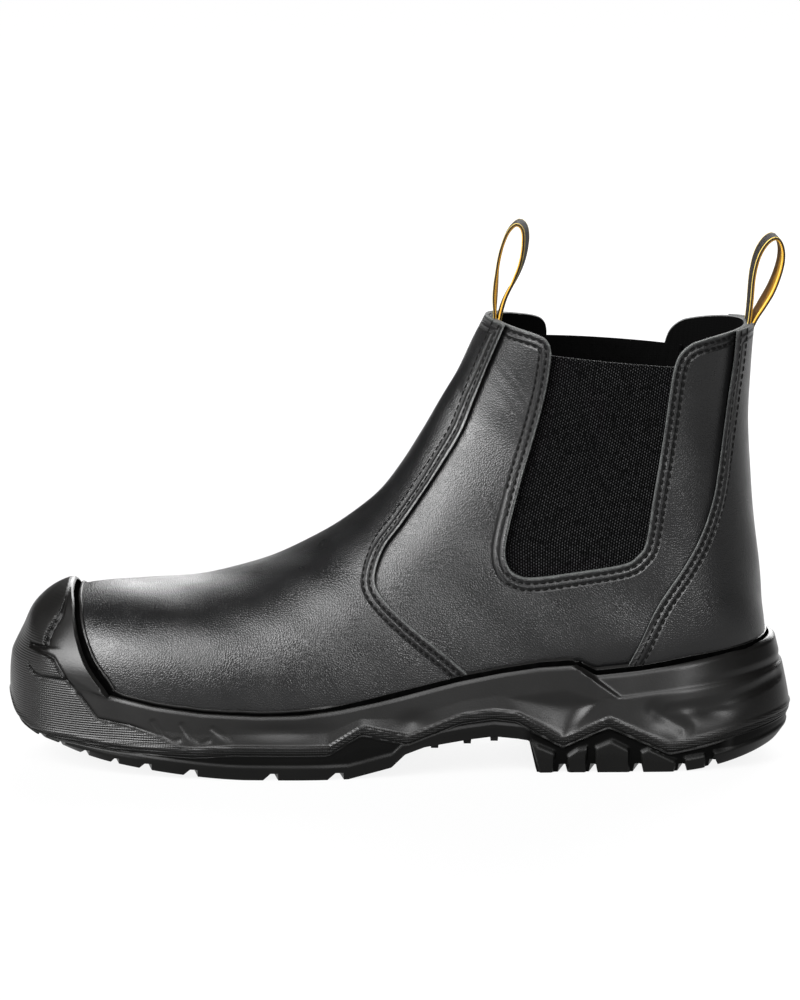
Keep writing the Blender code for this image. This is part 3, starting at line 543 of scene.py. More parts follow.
def skin_points(offset, rings, around):
    """Rings of the skin moved outwards by offset(points): (tip point, array of rings)."""
    t = np.asarray(rings, float)[:, None]
    angle = np.linspace(0, 2 * math.pi, around, endpoint=False)[None, :]
    t, angle = np.broadcast_arrays(t, angle)
    step = 1e-3
    along = skin_surface(t + step, angle) - skin_surface(t - step, angle)
    round_ = skin_surface(t, angle + step) - skin_surface(t, angle - step)
    normal = np.cross(along, round_)
    normal /= np.linalg.norm(normal, axis=-1, keepdims=True)
    points = skin_surface(t, angle)
    points = points + normal * np.broadcast_to(offset(points), t.shape)[..., None]
    tip = skin_surface(np.zeros(1), np.zeros(1))
    return tip - np.array([1.0, 0, 0]) * np.broadcast_to(offset(tip), 1)[:, None], points


def skin_mesh(offset, rings, around):
    """Points and faces of the skin moved outwards, closed at the toe tip and open above the collar."""
    tip, points = skin_points(offset, rings, around)
    count = len(rings)
    verts = np.concatenate([tip, points.reshape(-1, 3)])
    faces = [(0, 1 + i, 1 + (i + 1) % around) for i in range(around)]
    faces += grid_faces(count, around, 1, closed=True, flip=True)
    return verts, faces


def skin_tree(offset, first=FIRST_RING, last=None, rings=110, around=132):
    """Search tree of the skin moved outwards by offset(points)."""
    last = len(LAST) - 1 if last is None else last
    verts, faces = skin_mesh(offset, np.linspace(first, last, rings), around)
    return BVHTree.FromPolygons([Vector(v) for v in verts], faces)


def seen(tree, line, side):
    """Where a side-view line falls on a form, seen from one side (-1 outer, 1 inner): points and normals."""
    points, normals = [], []
    for x, z in line:
        hit, normal, _, _ = tree.ray_cast(Vector((x, side * LOOK_FROM, z)), Vector((0, -side, 0)))
        if hit is not None and side * hit.y > -PAST_MIDDLE:
            points.append(hit)
            normals.append(normal if normal.y * side > 0 else -normal)
    return np.array(points).reshape(-1, 3), np.array(normals).reshape(-1, 3)


# ---------------------------------------------------------------- meshes

def make_piece(name, points, faces, materials, faces_material=None):
    """A mesh object from points in millimetres."""
    mesh = bpy.data.meshes.new(name)
    mesh.from_pydata((np.asarray(points, float) * MM).tolist(), [], [tuple(int(i) for i in f) for f in faces])
    for material in materials:
        mesh.materials.append(material)
    if faces_material is not None:
        mesh.polygons.foreach_set("material_index", np.asarray(faces_material, dtype=np.int32))
    obj = bpy.data.objects.new(name, mesh)
    bpy.context.scene.collection.objects.link(obj)
    return obj


def grid_faces(rows, columns, start=0, closed=False, flip=False):
    """Quads of a grid of points stored row by row; closed joins its last column to its first."""
    faces = []
    for r in range(rows - 1):
        for c in range(columns if closed else columns - 1):
            d = (c + 1) % columns
            a, b = start + r * columns, start + (r + 1) * columns
            quad = (a + c, a + d, b + d, b + c)
            faces.append(quad[::-1] if flip else quad)
    return faces


def settle(obj, angle=40.0):
    """Makes what the modifiers give the piece's own mesh, smooth where faces meet at less than an angle."""
    graph = bpy.context.evaluated_depsgraph_get()
    mesh = bpy.data.meshes.new_from_object(obj.evaluated_get(graph))
    old = obj.data
    obj.modifiers.clear()
    obj.data = mesh
    bpy.data.meshes.remove(old)
    mesh.name = obj.name
    mesh.shade_smooth()
    mesh.set_sharp_from_angle(angle=math.radians(angle))
    return obj


def clean(obj, distance=0.01):
    """Joins points that coincide and turns all faces outwards."""
    bm = bmesh.new()
    bm.from_mesh(obj.data)
    bmesh.ops.remove_doubles(bm, verts=bm.verts, dist=distance * MM)
    bmesh.ops.dissolve_degenerate(bm, dist=1e-7, edges=bm.edges)
    bmesh.ops.recalc_face_normals(bm, faces=bm.faces)
    bm.to_mesh(obj.data)
    bm.free()
    return obj


def side_prism(name, outline, material, from_y=-80.0, to_y=80.0):
    """A side-view outline drawn out across the boot; a helper that cuts other pieces."""
    count = len(outline)
    points = [(x, y, z) for y in (from_y, to_y) for x, z in outline]
    faces = [tuple(range(count)), tuple(range(2 * count - 1, count - 1, -1))]
    faces += [(i, i + count, (i + 1) % count + count, (i + 1) % count) for i in range(count)]
    return clean(make_piece(name, points, faces, [material]))


def cut(obj, operation, helpers):
    """Combines a piece with helpers, which are removed; the cut faces take the helpers' material."""
    for helper in helpers:
        modifier = obj.modifiers.new(helper.name, "BOOLEAN")
        modifier.operation = operation
        modifier.solver = "EXACT"
        modifier.material_mode = "TRANSFER"
        modifier.object = helper
    settle(obj)
    for helper in helpers:
        mesh = helper.data
        bpy.data.objects.remove(helper)
        bpy.data.meshes.remove(mesh)


def set_attribute(obj, name, values):
    """A number on each point of the mesh for the materials to read."""
    attribute = obj.data.attributes.new(name, "FLOAT", "POINT")
    attribute.data.foreach_set("value", np.asarray(values, dtype=np.float32))


def set_uv(obj, uv):
    """A UV layer from one pair for each point, in metres."""
    layer = obj.data.uv_layers.new(name="UVMap")
    corner = np.empty(len(obj.data.loops), dtype=np.int32)
    obj.data.loops.foreach_get("vertex_index", corner)
    layer.data.foreach_set("uv", np.asarray(uv, dtype=np.float32)[corner].ravel())


def hand_in(obj, slot, *nodes):
    """Ties a finished piece to the frame."""
    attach(obj, "root")
    if nodes:
        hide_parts(*nodes)


# ---------------------------------------------------------------- materials

class Shader:
    """Short way to add shader nodes: a value that is a socket is linked, any other is set."""

    def __init__(self, name):
        self.material = bpy.data.materials.new(name)
        self.material.use_nodes = True
        self.tree = self.material.node_tree
        self.surface = self.tree.nodes["Principled BSDF"]

    def put(self, node, inputs):
        for key, value in inputs.items():
            socket = node.inputs[key]
            if isinstance(value, bpy.types.NodeSocket):
                self.tree.links.new(value, socket)
            else:
                socket.default_value = value
        return node

    def node(self, kind, inputs=None, **settings):
        node = self.tree.nodes.new("ShaderNode" + kind)
        for key, value in settings.items():
            setattr(node, key, value)
        return self.put(node, inputs or {})

    def math(self, operation, a, b=0.0):
        return self.node("Math", {0: a, 1: b}, operation=operation).outputs[0]

    def span(self, value, low, high, to_low=0.0, to_high=1.0):
        return self.node("MapRange", {"Value": value, "From Min": low, "From Max": high,
                                      "To Min": to_low, "To Max": to_high}).outputs["Result"]

    def mix(self, factor, a, b):
        node = self.node("Mix", {"Factor": factor}, data_type="RGBA")
        self.put(node, {6: a, 7: b})
        return node.outputs[2]

    def bump(self, height, distance, strength=1.0, below=None):
        inputs = {"Height": height, "Distance": distance, "Strength": strength}
        if below is not None:
            inputs["Normal"] = below
        return self.node("Bump", inputs).outputs["Normal"]


def rgba(colour, times=1.0):
    return tuple(min(1.0, c * times) for c in colour) + (1.0,)


def place(shader):
    return shader.node("TexCoord").outputs["Object"]


def noise(shader, coordinate, size, detail=2.0, roughness=0.5):
    return shader.node("TexNoise", {"Vector": coordinate, "Scale": 1 / size, "Detail": detail,
                                    "Roughness": roughness}).outputs["Fac"]


def leather_material(settings):
    """Dressed leather: fine grain, soft sheen, sunk under the stitches and painted darker there as shade, paler near
    a cut edge partly from rubbing and partly as a painted highlight on the edge.
    """
    s = Shader("boot_leather")
    at = place(s)
    cells = s.node("TexVoronoi", {"Vector": at, "Scale": 1 / settings.grain, "Randomness": 0.9},
                   feature="DISTANCE_TO_EDGE").outputs["Distance"]
    grain = s.math("ADD", s.span(cells, 0.0, 0.28), s.math("MULTIPLY", noise(s, at, settings.grain * 0.45), 0.6))
    broad = noise(s, at, 0.030, 3.0)
    edge = s.node("Attribute", attribute_name="edge_mm").outputs["Fac"]
    near = s.span(edge, 0.35, 0.9, 1.0, 0.0)
    # Paler near a cut edge: partly rubbed wear, partly a painted highlight on the edge's rounding
    rubbed_and_highlight = s.math("MULTIPLY", near, s.span(noise(s, at, 0.0022, 3.0), 0.3, 0.6, 0.25, 1.0))
    first, second = [s.math("ABSOLUTE", s.math("SUBTRACT", edge, distance)) for distance in STITCH_ROWS]
    row = s.span(s.math("MINIMUM", first, second), 0.1, 1.0, 0.0, 1.0)
    tone = s.mix(s.span(broad, 0.3, 0.7), rgba(settings.colour, 0.86), rgba(settings.colour, 1.14))
    # Darker along the stitch rows: painted shade in the sunk stitch lines
    tone = s.mix(row, rgba(settings.colour, 0.25), tone)
    colour = s.mix(rubbed_and_highlight, tone, rgba(settings.edge))
    worn = s.span(noise(s, at, 0.012, 4.0), 0.3, 0.7, settings.gloss - 0.04, settings.gloss + 0.06)
    rough = s.math("ADD", worn, s.span(row, 0.0, 1.0, 0.3, 0.0))
    soft = s.node("Bevel", {"Radius": 0.00045}, samples=4).outputs["Normal"]
    sunk = s.bump(row, 0.0006, 0.9, soft)
    normal = s.bump(grain, 0.00010, 0.52, sunk)
    s.put(s.surface, {"Base Color": colour, "Roughness": rough, "Normal": normal, "Specular IOR Level": 0.26})
    return s.material


def edge_material(settings):
    """The cut edge of the leather: dull and fibrous."""
    s = Shader("boot_leather_edge")
    at = place(s)
    fibre = noise(s, at, 0.0007, 4.0, 0.7)
    soft = s.node("Bevel", {"Radius": 0.00045}, samples=4).outputs["Normal"]
    s.put(s.surface, {"Base Color": s.mix(s.span(fibre, 0.35, 0.65), rgba(settings.edge, 0.55), rgba(settings.edge)),
                      "Roughness": 0.85, "Normal": s.bump(fibre, 0.0003, 0.8, soft)})
    return s.material


def fabric_material(name, colour, size):
    """Plain woven fabric, for the lining and the insole."""
    s = Shader(name)
    at = place(s)
    weave = s.node("TexVoronoi", {"Vector": at, "Scale": 1 / size, "Randomness": 0.15}).outputs["Distance"]
    s.put(s.surface, {"Base Color": s.mix(s.span(weave, 0.0, 0.8), rgba(colour, 1.3), rgba(colour, 0.6)),
                      "Roughness": 0.95, "Specular IOR Level": 0.02,
                      "Normal": s.bump(weave, size * 0.3, 0.6)})
    return s.material


def elastic_material(settings):
    """Ribbed knit: loops staggered along each rib, with scattered flecks painted lighter and glossier only on the
    rib crests and loop tops, partly yarn flecks and partly a painted highlight.
    """
    s = Shader("boot_elastic")
    uv = s.node("TexCoord").outputs["UV"]
    axes = s.node("SeparateXYZ", {"Vector": uv})
    across, up = axes.outputs["X"], axes.outputs["Y"]
    rib = s.math("MULTIPLY", across, 2 * math.pi)
    stagger = s.math("MULTIPLY", s.math("FLOOR", s.math("ADD", across, 0.5)), math.pi)
    loops = s.math("SINE", s.math("ADD", s.math("MULTIPLY", up, 2 * math.pi / 0.0012), stagger))
    knit = s.span(loops, -0.6, 1.0)
    fleck = s.span(noise(s, place(s), 0.0011, 2.0, 0.7), 0.38, 0.62, 0.1, 1.0)
    crest = s.span(s.math("COSINE", rib), -0.5, 0.9)
    # Flecks painted lighter and glossier only on rib crests and loop tops: scattered like yarn, placed as a painted
    # highlight
    shine = s.math("MULTIPLY", s.math("MULTIPLY", fleck, crest), knit)
    colour = s.mix(shine, rgba(settings.colour, 0.35), rgba(settings.colour, 9.0))
    s.put(s.surface, {"Specular IOR Level": 0.12})
    s.put(s.surface, {"Base Color": colour, "Roughness": 0.8,
                      "Specular IOR Level": s.span(shine, 0.0, 0.7, 0.02, 0.34),
                      "Normal": s.bump(s.math("MULTIPLY", crest, knit), 0.00025, 0.8)})
    return s.material


def moulded_material(name, colour, gloss, sheen, settings):
    """Moulded plastic or rubber: fine grained skin, knurled with painted shade in the knurl's troughs, and darker
    and duller with painted shade where the mesh's shade attribute marks it.
    """
    s = Shader(name)
    at = place(s)
    uv = s.node("TexCoord").outputs["UV"]
    axes = s.node("SeparateXYZ", {"Vector": uv})
    turn = 2 * math.pi / settings.knurl
    waves = s.math("SINE", s.math("MULTIPLY", axes.outputs["Y"], turn))
    beads = s.math("SINE", s.math("MULTIPLY", axes.outputs["X"], turn * 0.9))
    knurl = s.math("ADD", waves, s.math("MULTIPLY", beads, 0.25))
    mask = s.node("Attribute", attribute_name="knurl").outputs["Fac"]
    shade = s.node("Attribute", attribute_name="shade").outputs["Fac"]
    broad = noise(s, at, 0.018, 4.0)
    skin = noise(s, at, 0.0008, 2.0, 0.6)
    # The knurl's troughs are painted darker: painted shade
    dark = s.math("MULTIPLY", mask, s.span(knurl, 0.3, -1.0))
    tone = s.mix(s.span(broad, 0.3, 0.7), rgba(colour, 0.88), rgba(colour, 1.12))
    soft = s.node("Bevel", {"Radius": 0.0004}, samples=4).outputs["Normal"]
    normal = s.bump(s.math("MULTIPLY", knurl, mask), 0.00010, 0.6, s.bump(skin, 0.00006, 0.5, soft))
    tone = s.mix(s.math("MULTIPLY", dark, 0.5), tone, rgba(colour, 0.3))
    s.put(s.surface, {"Specular IOR Level": sheen})
    # Colour and sheen painted down where the shade attribute marks grooves and recesses: painted shade
    s.put(s.surface, {"Base Color": s.mix(shade, tone, rgba(colour, 0.35)),
                      "Roughness": s.span(broad, 0.2, 0.8, gloss - 0.05, gloss + 0.07), "Normal": normal,
                      "Specular IOR Level": s.span(shade, 0.0, 1.0, sheen, sheen * 0.3)})
    return s.material


def gutter_shade_material():
    """Painted shade: the bottom of the gutter between sole and leather, and its strip up the leather's foot,
    unevenly near-black.
    """
    s = Shader("boot_gutter")
    uneven_black = noise(s, place(s), 0.003, 4.0)
    colour = s.mix(s.span(uneven_black, 0.4, 0.8), (0.0004, 0.0004, 0.0004, 1), (0.0012, 0.0012, 0.0012, 1))
    s.put(s.surface, {"Base Color": colour, "Roughness": 0.9, "Specular IOR Level": 0.0})
    return s.material


def webbing_material(name, colour, stripe):
    """Tight tape weave, with a line of the other colour near both edges. UV: along the tape, across it."""
    s = Shader(name)
    axes = s.node("SeparateXYZ", {"Vector": s.node("TexCoord").outputs["UV"]})
    along, across = axes.outputs["X"], axes.outputs["Y"]
    twill = s.math("SINE", s.math("MULTIPLY", s.math("ADD", along, s.math("MULTIPLY", across, 0.7)),
                                  2 * math.pi / 0.0009))
    cross = s.math("SINE", s.math("MULTIPLY", across, 2 * math.pi / 0.0007))
    weave = s.span(s.math("ADD", twill, s.math("MULTIPLY", cross, 0.6)), -1.4, 1.4)
    away = s.math("ABSOLUTE", s.math("SUBTRACT", s.math("ABSOLUTE", across), LOOP_WIDTH * MM / 2 - 0.0009))
    line = s.span(away, 0.00035, 0.0006, 1.0, 0.0)
    tone = s.mix(weave, rgba(colour, 0.6), rgba(colour, 1.15))
    s.put(s.surface, {"Base Color": s.mix(line, tone, rgba(stripe)), "Roughness": 0.75, "Specular IOR Level": 0.08,
                      "Normal": s.bump(weave, 0.00016, 0.7)})
    return s.material


def thread_material(settings):
    """Twisted sewing thread."""
    s = Shader("boot_thread")
    twist = noise(s, place(s), 0.0005, 1.0)
    s.put(s.surface, {"Base Color": s.mix(twist, rgba(settings.colour, 0.7), rgba(settings.colour, 1.6)),
                      "Roughness": 0.75, "Specular IOR Level": 0.06, "Normal": s.bump(twist, 0.0001, 0.5)})
    return s.material


# ---------------------------------------------------------------- leather

def leather_rings():
    """Row positions of the leather's rings, closer together at the toe."""
    return np.concatenate([np.linspace(FIRST_RING, TOE_RINGS_END, TOE_RINGS, endpoint=False),
                           np.linspace(TOE_RINGS_END, len(LAST) - 1, LEATHER_RINGS - TOE_RINGS)])


def soft_patch(patch, x, z):
    """How far a soft hollow or swelling goes at side-view places."""
    return patch.depth * np.exp(-((x - patch.x) / patch.half_x) ** 2 - ((z - patch.z) / patch.half_z) ** 2)


def leather_relief(points):
    """Small unevenness of lasted leather: waves all over, the swelling over the heel and a few creases."""
    x, y, z = points[..., 0], points[..., 1], points[..., 2]
    slow = LEATHER_WAVES[0] * np.sin(x / 11.0 + 0.7 * np.sin(z / 13.0)) * np.sin(z / 9.0 + y / 17.0)
    slow += LEATHER_WAVES[1] * np.sin(x / 5.3 + z / 6.1 + y / 7.0)
    total = slow * np.clip((z - 30.0) / 20.0, 0, 1)
    total = total + soft_patch(HEEL_SWELLING, x, z)
    for crease in CREASES:
        a, b = np.array(crease.start), np.array(crease.end)
        length = np.linalg.norm(b - a)
        ahead = (b - a) / length
        along = ((x - a[0]) * ahead[0] + (z - a[1]) * ahead[1]) / length
        off = (z - a[1]) * ahead[0] - (x - a[0]) * ahead[1]
        fade = np.clip(np.minimum(along, 1 - along) / 0.3 + 0.2, 0, 1) * (np.abs(along - 0.5) < 0.56)
        wave = np.exp(-(off / crease.width) ** 2) - 0.6 * np.exp(-((off - 1.9 * crease.width) / crease.width) ** 2)
        total = total - crease.depth * wave * fade
    return total


def collar_height(x):
    """Height of the collar at the front and the back of the shaft."""
    return level(COLLAR_FRONT[:2] + COLLAR_BACK[-3:], x)


def collar_ends(tree):
    """The collar's line round the front and the back of the shaft, where the side view doesn't show it well."""
    points = []
    for angle in np.linspace(0, 2 * math.pi, 400):
        z = COLLAR_TOP
        for _ in range(3):
            hit = tree.ray_cast(Vector((*SHAFT_MIDDLE, z)), Vector((math.cos(angle), math.sin(angle), 0)))[0]
            z = float(collar_height(hit.x))
        if not COLLAR_SIDE[0] < hit.x < COLLAR_SIDE[1]:
            points.append(hit)
    return np.array(points)


def edge_distance(obj, lines, depth):
    """Marks each point of a panel with its distance from the panel's cut edges, in millimetres."""
    tree = skin_tree(lambda p: -depth)
    points = np.concatenate([seen(tree, line, side)[0] for line in lines for side in (-1, 1)] + [collar_ends(tree)])
    search = KDTree(len(points))
    for i, p in enumerate(points):
        search.insert(p, i)
    search.balance()
    values = [search.find(v.co / MM)[2] for v in obj.data.vertices]
    set_attribute(obj, "edge_mm", values)


def leather_panel(name, depth, thickness, outlines, materials):
    """A panel of the skin with a thickness, kept where all the side-view outlines hold it."""
    leather, lining, edge = materials
    verts, faces = skin_mesh(lambda p: -depth + leather_relief(p), leather_rings(), LEATHER_AROUND)
    panel = make_piece(name, verts, faces, [leather, lining, edge])
    wall = panel.modifiers.new("wall", "SOLIDIFY")
    wall.thickness = thickness * MM
    wall.offset = -1
    wall.material_offset = 1
    wall.material_offset_rim = 1
    settle(panel)
    for i, outline in enumerate(outlines):
        cut(panel, "INTERSECT", [side_prism(f"{name}_side_{i}", outline, edge)])
    return panel


def body_outline():
    """The upper's side view: the collar with the windows as notches, down to below the sole's lip."""
    low = [(x, float(level(SOLE_LIP, x)) - LIP_TUCK) for x in np.linspace(-160, 160, 60)]
    top = [tuple(p) for p in collar_line()]
    return low + [(FAR, 40.0), (FAR, top[-1][1])] + top[::-1] + [(-FAR, top[0][1]), (-FAR, 30.0)]


def vamp_outline():
    """What lies in front of the vamp's seam, in the side view."""
    seam = [tuple(p) for p in smooth_line(VAMP_SEAM, 6)]
    return [(45.0, FAR)] + seam + [(40.0, 0.0), (-140.0, 0.0), (-140.0, FAR)]


def counter_outline():
    """What lies behind the heel counter's seam, in the side view."""
    seam = [tuple(p) for p in smooth_line(COUNTER_SEAM, 6)]
    return [(133.0, FAR)] + seam + [(79.0, 0.0), (FAR, 0.0), (FAR, FAR)]


class BOOT_OT_upper(bpy.types.Operator):
    """Build the quarters with their lining, and the vamp and heel counter that lie over them"""
    bl_idname = "boot.upper"
    bl_label = "Upper"

    def execute(self, context):
        settings = context.scene.boot_leather
        materials = (leather_material(settings), fabric_material("boot_lining", *LINING_FABRIC),
                     edge_material(settings))
        collar = even_line(collar_line(), 0.8)
        quarters = leather_panel("boot_quarters", UPPER_DEPTH, UPPER_WALL, [body_outline()], materials)
        edge_distance(quarters, [collar], UPPER_DEPTH)
        hand_in(quarters, "leather", "upper")
        for name, node, outline, seam in (
                ("boot_vamp", "vamp", vamp_outline(), VAMP_SEAM),
                ("boot_counter", "heel_counter", counter_outline(), COUNTER_SEAM)):
            panel = leather_panel(name, 0.0, OVERLAY, [body_outline(), outline], materials)
            edge_distance(panel, [collar, even_line(smooth_line(seam, 6), 0.8)], 0.0)
            hand_in(panel, "leather", node)
        return {"FINISHED"}


class BOOT_OT_gores(bpy.types.Operator):
    """Build the two elastic panels, with their ribs as real ridges"""
    bl_idname = "boot.gores"
    bl_label = "Elastic gores"

    def execute(self, context):
        settings = context.scene.boot_elastic
        material = elastic_material(settings)
        front = moved_line(even_line(smooth_line(GORE_FRONT[::-1], 6), 1.0), GORE_TUCK)
        back = moved_line(even_line(smooth_line(GORE_BACK, 6), 1.0), -GORE_TUCK)
        front = np.concatenate([GORE_LEADS[:1], front, [front[-1] + 3 * (front[-1] - front[-2])]])
        back = np.concatenate([GORE_LEADS[1:], back, [back[-1] + 3 * (back[-1] - back[-2])]])
        columns, rows = settings.ribs * GORE_RIB_STEPS + 1, GORE_ROWS
        u = np.linspace(0, 1, columns)[None, :]
        v = np.linspace(0, 1, rows)[:, None]
        front_z, back_z = [low + v * (high - low) for low, high in (GORE_FRONT_HEIGHTS, GORE_BACK_HEIGHTS)]
        x = (1 - u) * np.interp(front_z, front[:, 1], front[:, 0]) + u * np.interp(back_z, back[:, 1], back[:, 0])
        z = (1 - u) * front_z + u * back_z
        ridge = np.cos(2 * math.pi * settings.ribs * u) * settings.height / MM * np.ones_like(v)
        tree = skin_tree(lambda p: -GORE_DEPTH)
        for name, node, side in (("boot_gore_outer", "elastic_gore_outer", -1),
                                 ("boot_gore_inner", "elastic_gore_inner", 1)):
            points, normals = seen(tree, np.stack([x.ravel(), z.ravel()], 1), side)
            points = points + normals * ridge.reshape(-1, 1)
            gore = make_piece(name, points, grid_faces(rows, columns, flip=side > 0),
                              [material, bpy.data.materials["boot_lining"]])
            set_uv(gore, np.stack([np.broadcast_to(u * settings.ribs, z.shape).ravel(), z.ravel() * MM], 1))
            wall = gore.modifiers.new("wall", "SOLIDIFY")
            wall.thickness = GORE_THICKNESS * MM
            wall.offset = -1
            wall.material_offset = 1
            hand_in(settle(gore), "elastic", node)
        return {"FINISHED"}


# ---------------------------------------------------------------- sole

def outline_loop(count):
    """Evenly spaced points round the sole's widest outline from the toe tip along the outer side, the directions
    straight out of it, and the length of the way to each point."""
    t = np.linspace(0, len(SOLE_OUTLINE) - 1, 3000)
    x = through([s.x for s in SOLE_OUTLINE], t, True, True)
    outer = np.stack([x, through([s.outer for s in SOLE_OUTLINE], t)], 1)
    inner = np.stack([x, through([s.inner for s in SOLE_OUTLINE], t)], 1)
    loop = np.concatenate([outer, inner[-2::-1]])
    run = np.concatenate([[0], np.cumsum(np.linalg.norm(np.diff(loop, axis=0), axis=1))])
    way = np.linspace(0, run[-1], count, endpoint=False)
    points = np.stack([np.interp(way, run, loop[:, 0]), np.interp(way, run, loop[:, 1])], 1)
    ahead = np.roll(points, -2, 0) - np.roll(points, 2, 0)
    ahead /= np.linalg.norm(ahead, axis=1, keepdims=True)
    return points, np.stack([ahead[:, 1], -ahead[:, 0]], 1), way


def dent_depth(dent, x, z, sharp=40):
    """How deep a dent is at side-view places: its floor slopes up to each side of its outline, with more or less
    sharp creases between the slopes."""
    corners = np.array(dent.corners)
    after = np.roll(corners, -1, 0)
    area = np.sum(corners[:, 0] * after[:, 1] - corners[:, 1] * after[:, 0])
    shares = []
    for a, b, slope in zip(corners, after, dent.slopes):
        ahead = (b - a) / np.linalg.norm(b - a)
        inside = ((z - a[1]) * ahead[0] - (x - a[0]) * ahead[1]) * (1 if area > 0 else -1)
        shares.append(np.clip(inside / slope, 0.001, 1) ** -sharp)
    share = np.sum(shares, axis=0) ** (-1 / sharp)
    return dent.depth * share * share * (3 - 2 * share)


def line_distance(line, x, z):
    """How far side-view places are from a line."""
    line = even_line(np.array(line, float), 0.5)
    return np.min(np.hypot(x[..., None] - line[:, 0], z[..., None] - line[:, 1]), axis=-1)


def mark_depth(mark, x, z):
    """How deep a short groove is at side-view places."""
    return mark.depth * np.clip(1 - (line_distance(mark.line, x, z) / mark.width) ** 2, 0, 1)


def cap_thickness(points):
    """Thickness of the toe cap, which grows towards its foot."""
    return TOE_CAP_THICKNESS + (TOE_CAP_FOOT_THICKNESS - TOE_CAP_THICKNESS) * ease(points[..., 2], TOE_CAP_SWELL)


def lip_height(x):
    """Height of the sole's lip."""
    return level(SOLE_LIP, x, 1.2)


def wave_height(x):
    """Height of the wavy line between the tread and the sole unit."""
    return level(OUTSOLE_TOP, x, 1.0)


def wall_middle(x):
    """Height of the row of points that follows the raised line round the heel."""
    low, lip = wave_height(x), lip_height(x)
    plain = low + 0.6 * (lip - low)
    return plain + (level(HEEL_LINE, x, 3.0) - plain) * ease(x, (62.0, 84.0))


def nose_back(x, z):
    """How far the front of the toe lies back."""
    depth, height, half = NOSE_BACK
    return depth * np.exp(-((z - height) / half) ** 2) * ease(x, (-138.0, -152.0))


def wall_inset(x, z):
    """How far the sole's wall stands in from the widest outline."""
    low, lip, line = wave_height(x), lip_height(x), level(HEEL_LINE, x, 3.0)
    share = np.clip((z - low) / (lip - low), 0, 1)
    side, waist = [np.interp(share, WALL_SHARES, wall) for wall in (WALL_FOREFOOT, WALL_WAIST)]
    side = (side + (waist - side) * ease(x, (-30.0, 5.0))) * (1 - 0.75 * ease(x, (-108.0, -122.0)))
    turn = ease(x, HEEL_TURN)
    crest, top = [at_side + more * turn for at_side, more in (HEEL_CREST, HEEL_TOP)]
    heel = np.where(z > line, crest + (top - crest) * np.clip((z - line) / (lip - line), 0, 1),
                    crest * np.clip((z - low) / (line - low), 0, 1) ** 1.2)
    heel = heel + 0.9 * ease(z, (line - 0.3, line + 0.9)) - 0.7 * turn * ease(z, (line + 1.2, line + 4.5))
    (fin_x, fin_z), (foot_x, foot_z) = FIN_EDGE
    fin = fin_x + (fin_z - np.maximum(z, foot_z)) * (foot_x - fin_x) / (fin_z - foot_z)
    behind = np.where(z > foot_z, ease(x, (fin - 0.8, fin + 0.8)), ease(x, (foot_x - 8.0, foot_x + 10.0)))
    chamfer = LIP_CHAMFER[0] * np.clip(1 - (lip - z) / LIP_CHAMFER[1], 0, 1) * ease(x, (-117.0, -112.0))
    chamfer = chamfer * (1 + HEEL_CHAMFER * ease(x, (72.0, 80.0)))
    return (side + (heel - side) * behind + chamfer) * (1 - ease(x, TOE_TURN)) + nose_back(x, z)


def wall_relief(x, z):
    """Hollows, wedge, furrow, marks, bead and knurled strip of the sole's wall: distance outwards, and how far it is
    knurled and shaded."""
    out = np.zeros(np.shape(x))
    for hollow in SOLE_HOLLOWS:
        out -= soft_patch(hollow, x, z)
    out -= dent_depth(HEEL_WEDGE, x, z, WEDGE_SHARPNESS)
    (start_x, _), (end_x, _) = HEEL_FURROW.line
    way = np.clip((x - start_x) / (end_x - start_x), 0, 1)
    depth = HEEL_FURROW.start + (HEEL_FURROW.end - HEEL_FURROW.start) * way
    out -= depth * np.exp(-(line_distance(HEEL_FURROW.line, x, z) / HEEL_FURROW.width) ** 2)
    low = wave_height(x)
    for mark in SOLE_MARKS:
        out -= mark_depth(mark, x, z) * ease(z, (low + 1.8, low + 6.0))
    bead = np.clip(1 - np.abs(z - low - 0.9) / 0.9, 0, 1)
    nose, panel, shade = nose_relief(x, z)
    return out + 0.45 * bead + nose, np.maximum(panel, 0.6 * np.clip(bead * 3, 0, 1)), shade


def nose_relief(x, z):
    """The knurled panel on the nose and toe cap, the groove along its edge, and the scoop and notch behind it:
    distance outwards, and how far it is knurled and shaded."""
    line = even_line(np.array(KNURL_EDGE), 0.5)
    front = x < KNURL_EDGE[-1][0] + 4.0
    away = np.full(np.shape(x), 99.0)
    away[front] = np.min(np.hypot(x[front][:, None] - line[:, 0], z[front][:, None] - line[:, 1]), axis=1)
    behind = x - np.interp(z, line[::-1, 1], line[::-1, 0])
    side = np.where(behind < 0, away, -away)
    panel = np.clip(side / 0.7 + 0.5, 0, 1) * front
    groove = np.exp(-((side + 0.8) / 0.6) ** 2) * ease(z, (15.0, 22.0)) * ease(z, (68.0, 62.0))
    scoop = np.where(behind > 0, np.clip(1 - behind / 9.0, 0, 1) ** 2, 0)
    scoop = scoop * ease(z, (66.0, 55.0)) * ease(z, (45.0, 48.5))
    foot = mark_depth(TONGUE_FOOT, x, z) * front
    out = 0.45 * panel - 0.8 * groove - 1.7 * scoop - foot
    knurl = panel * (0.18 + 0.82 * ease(z, (60.0, 42.0)))
    # Painted shade along the groove at the panel's edge and in the groove under its tongue
    return out, knurl, np.clip(0.8 * groove * ease(z, (22.0, 30.0)) + foot, 0, 0.9)


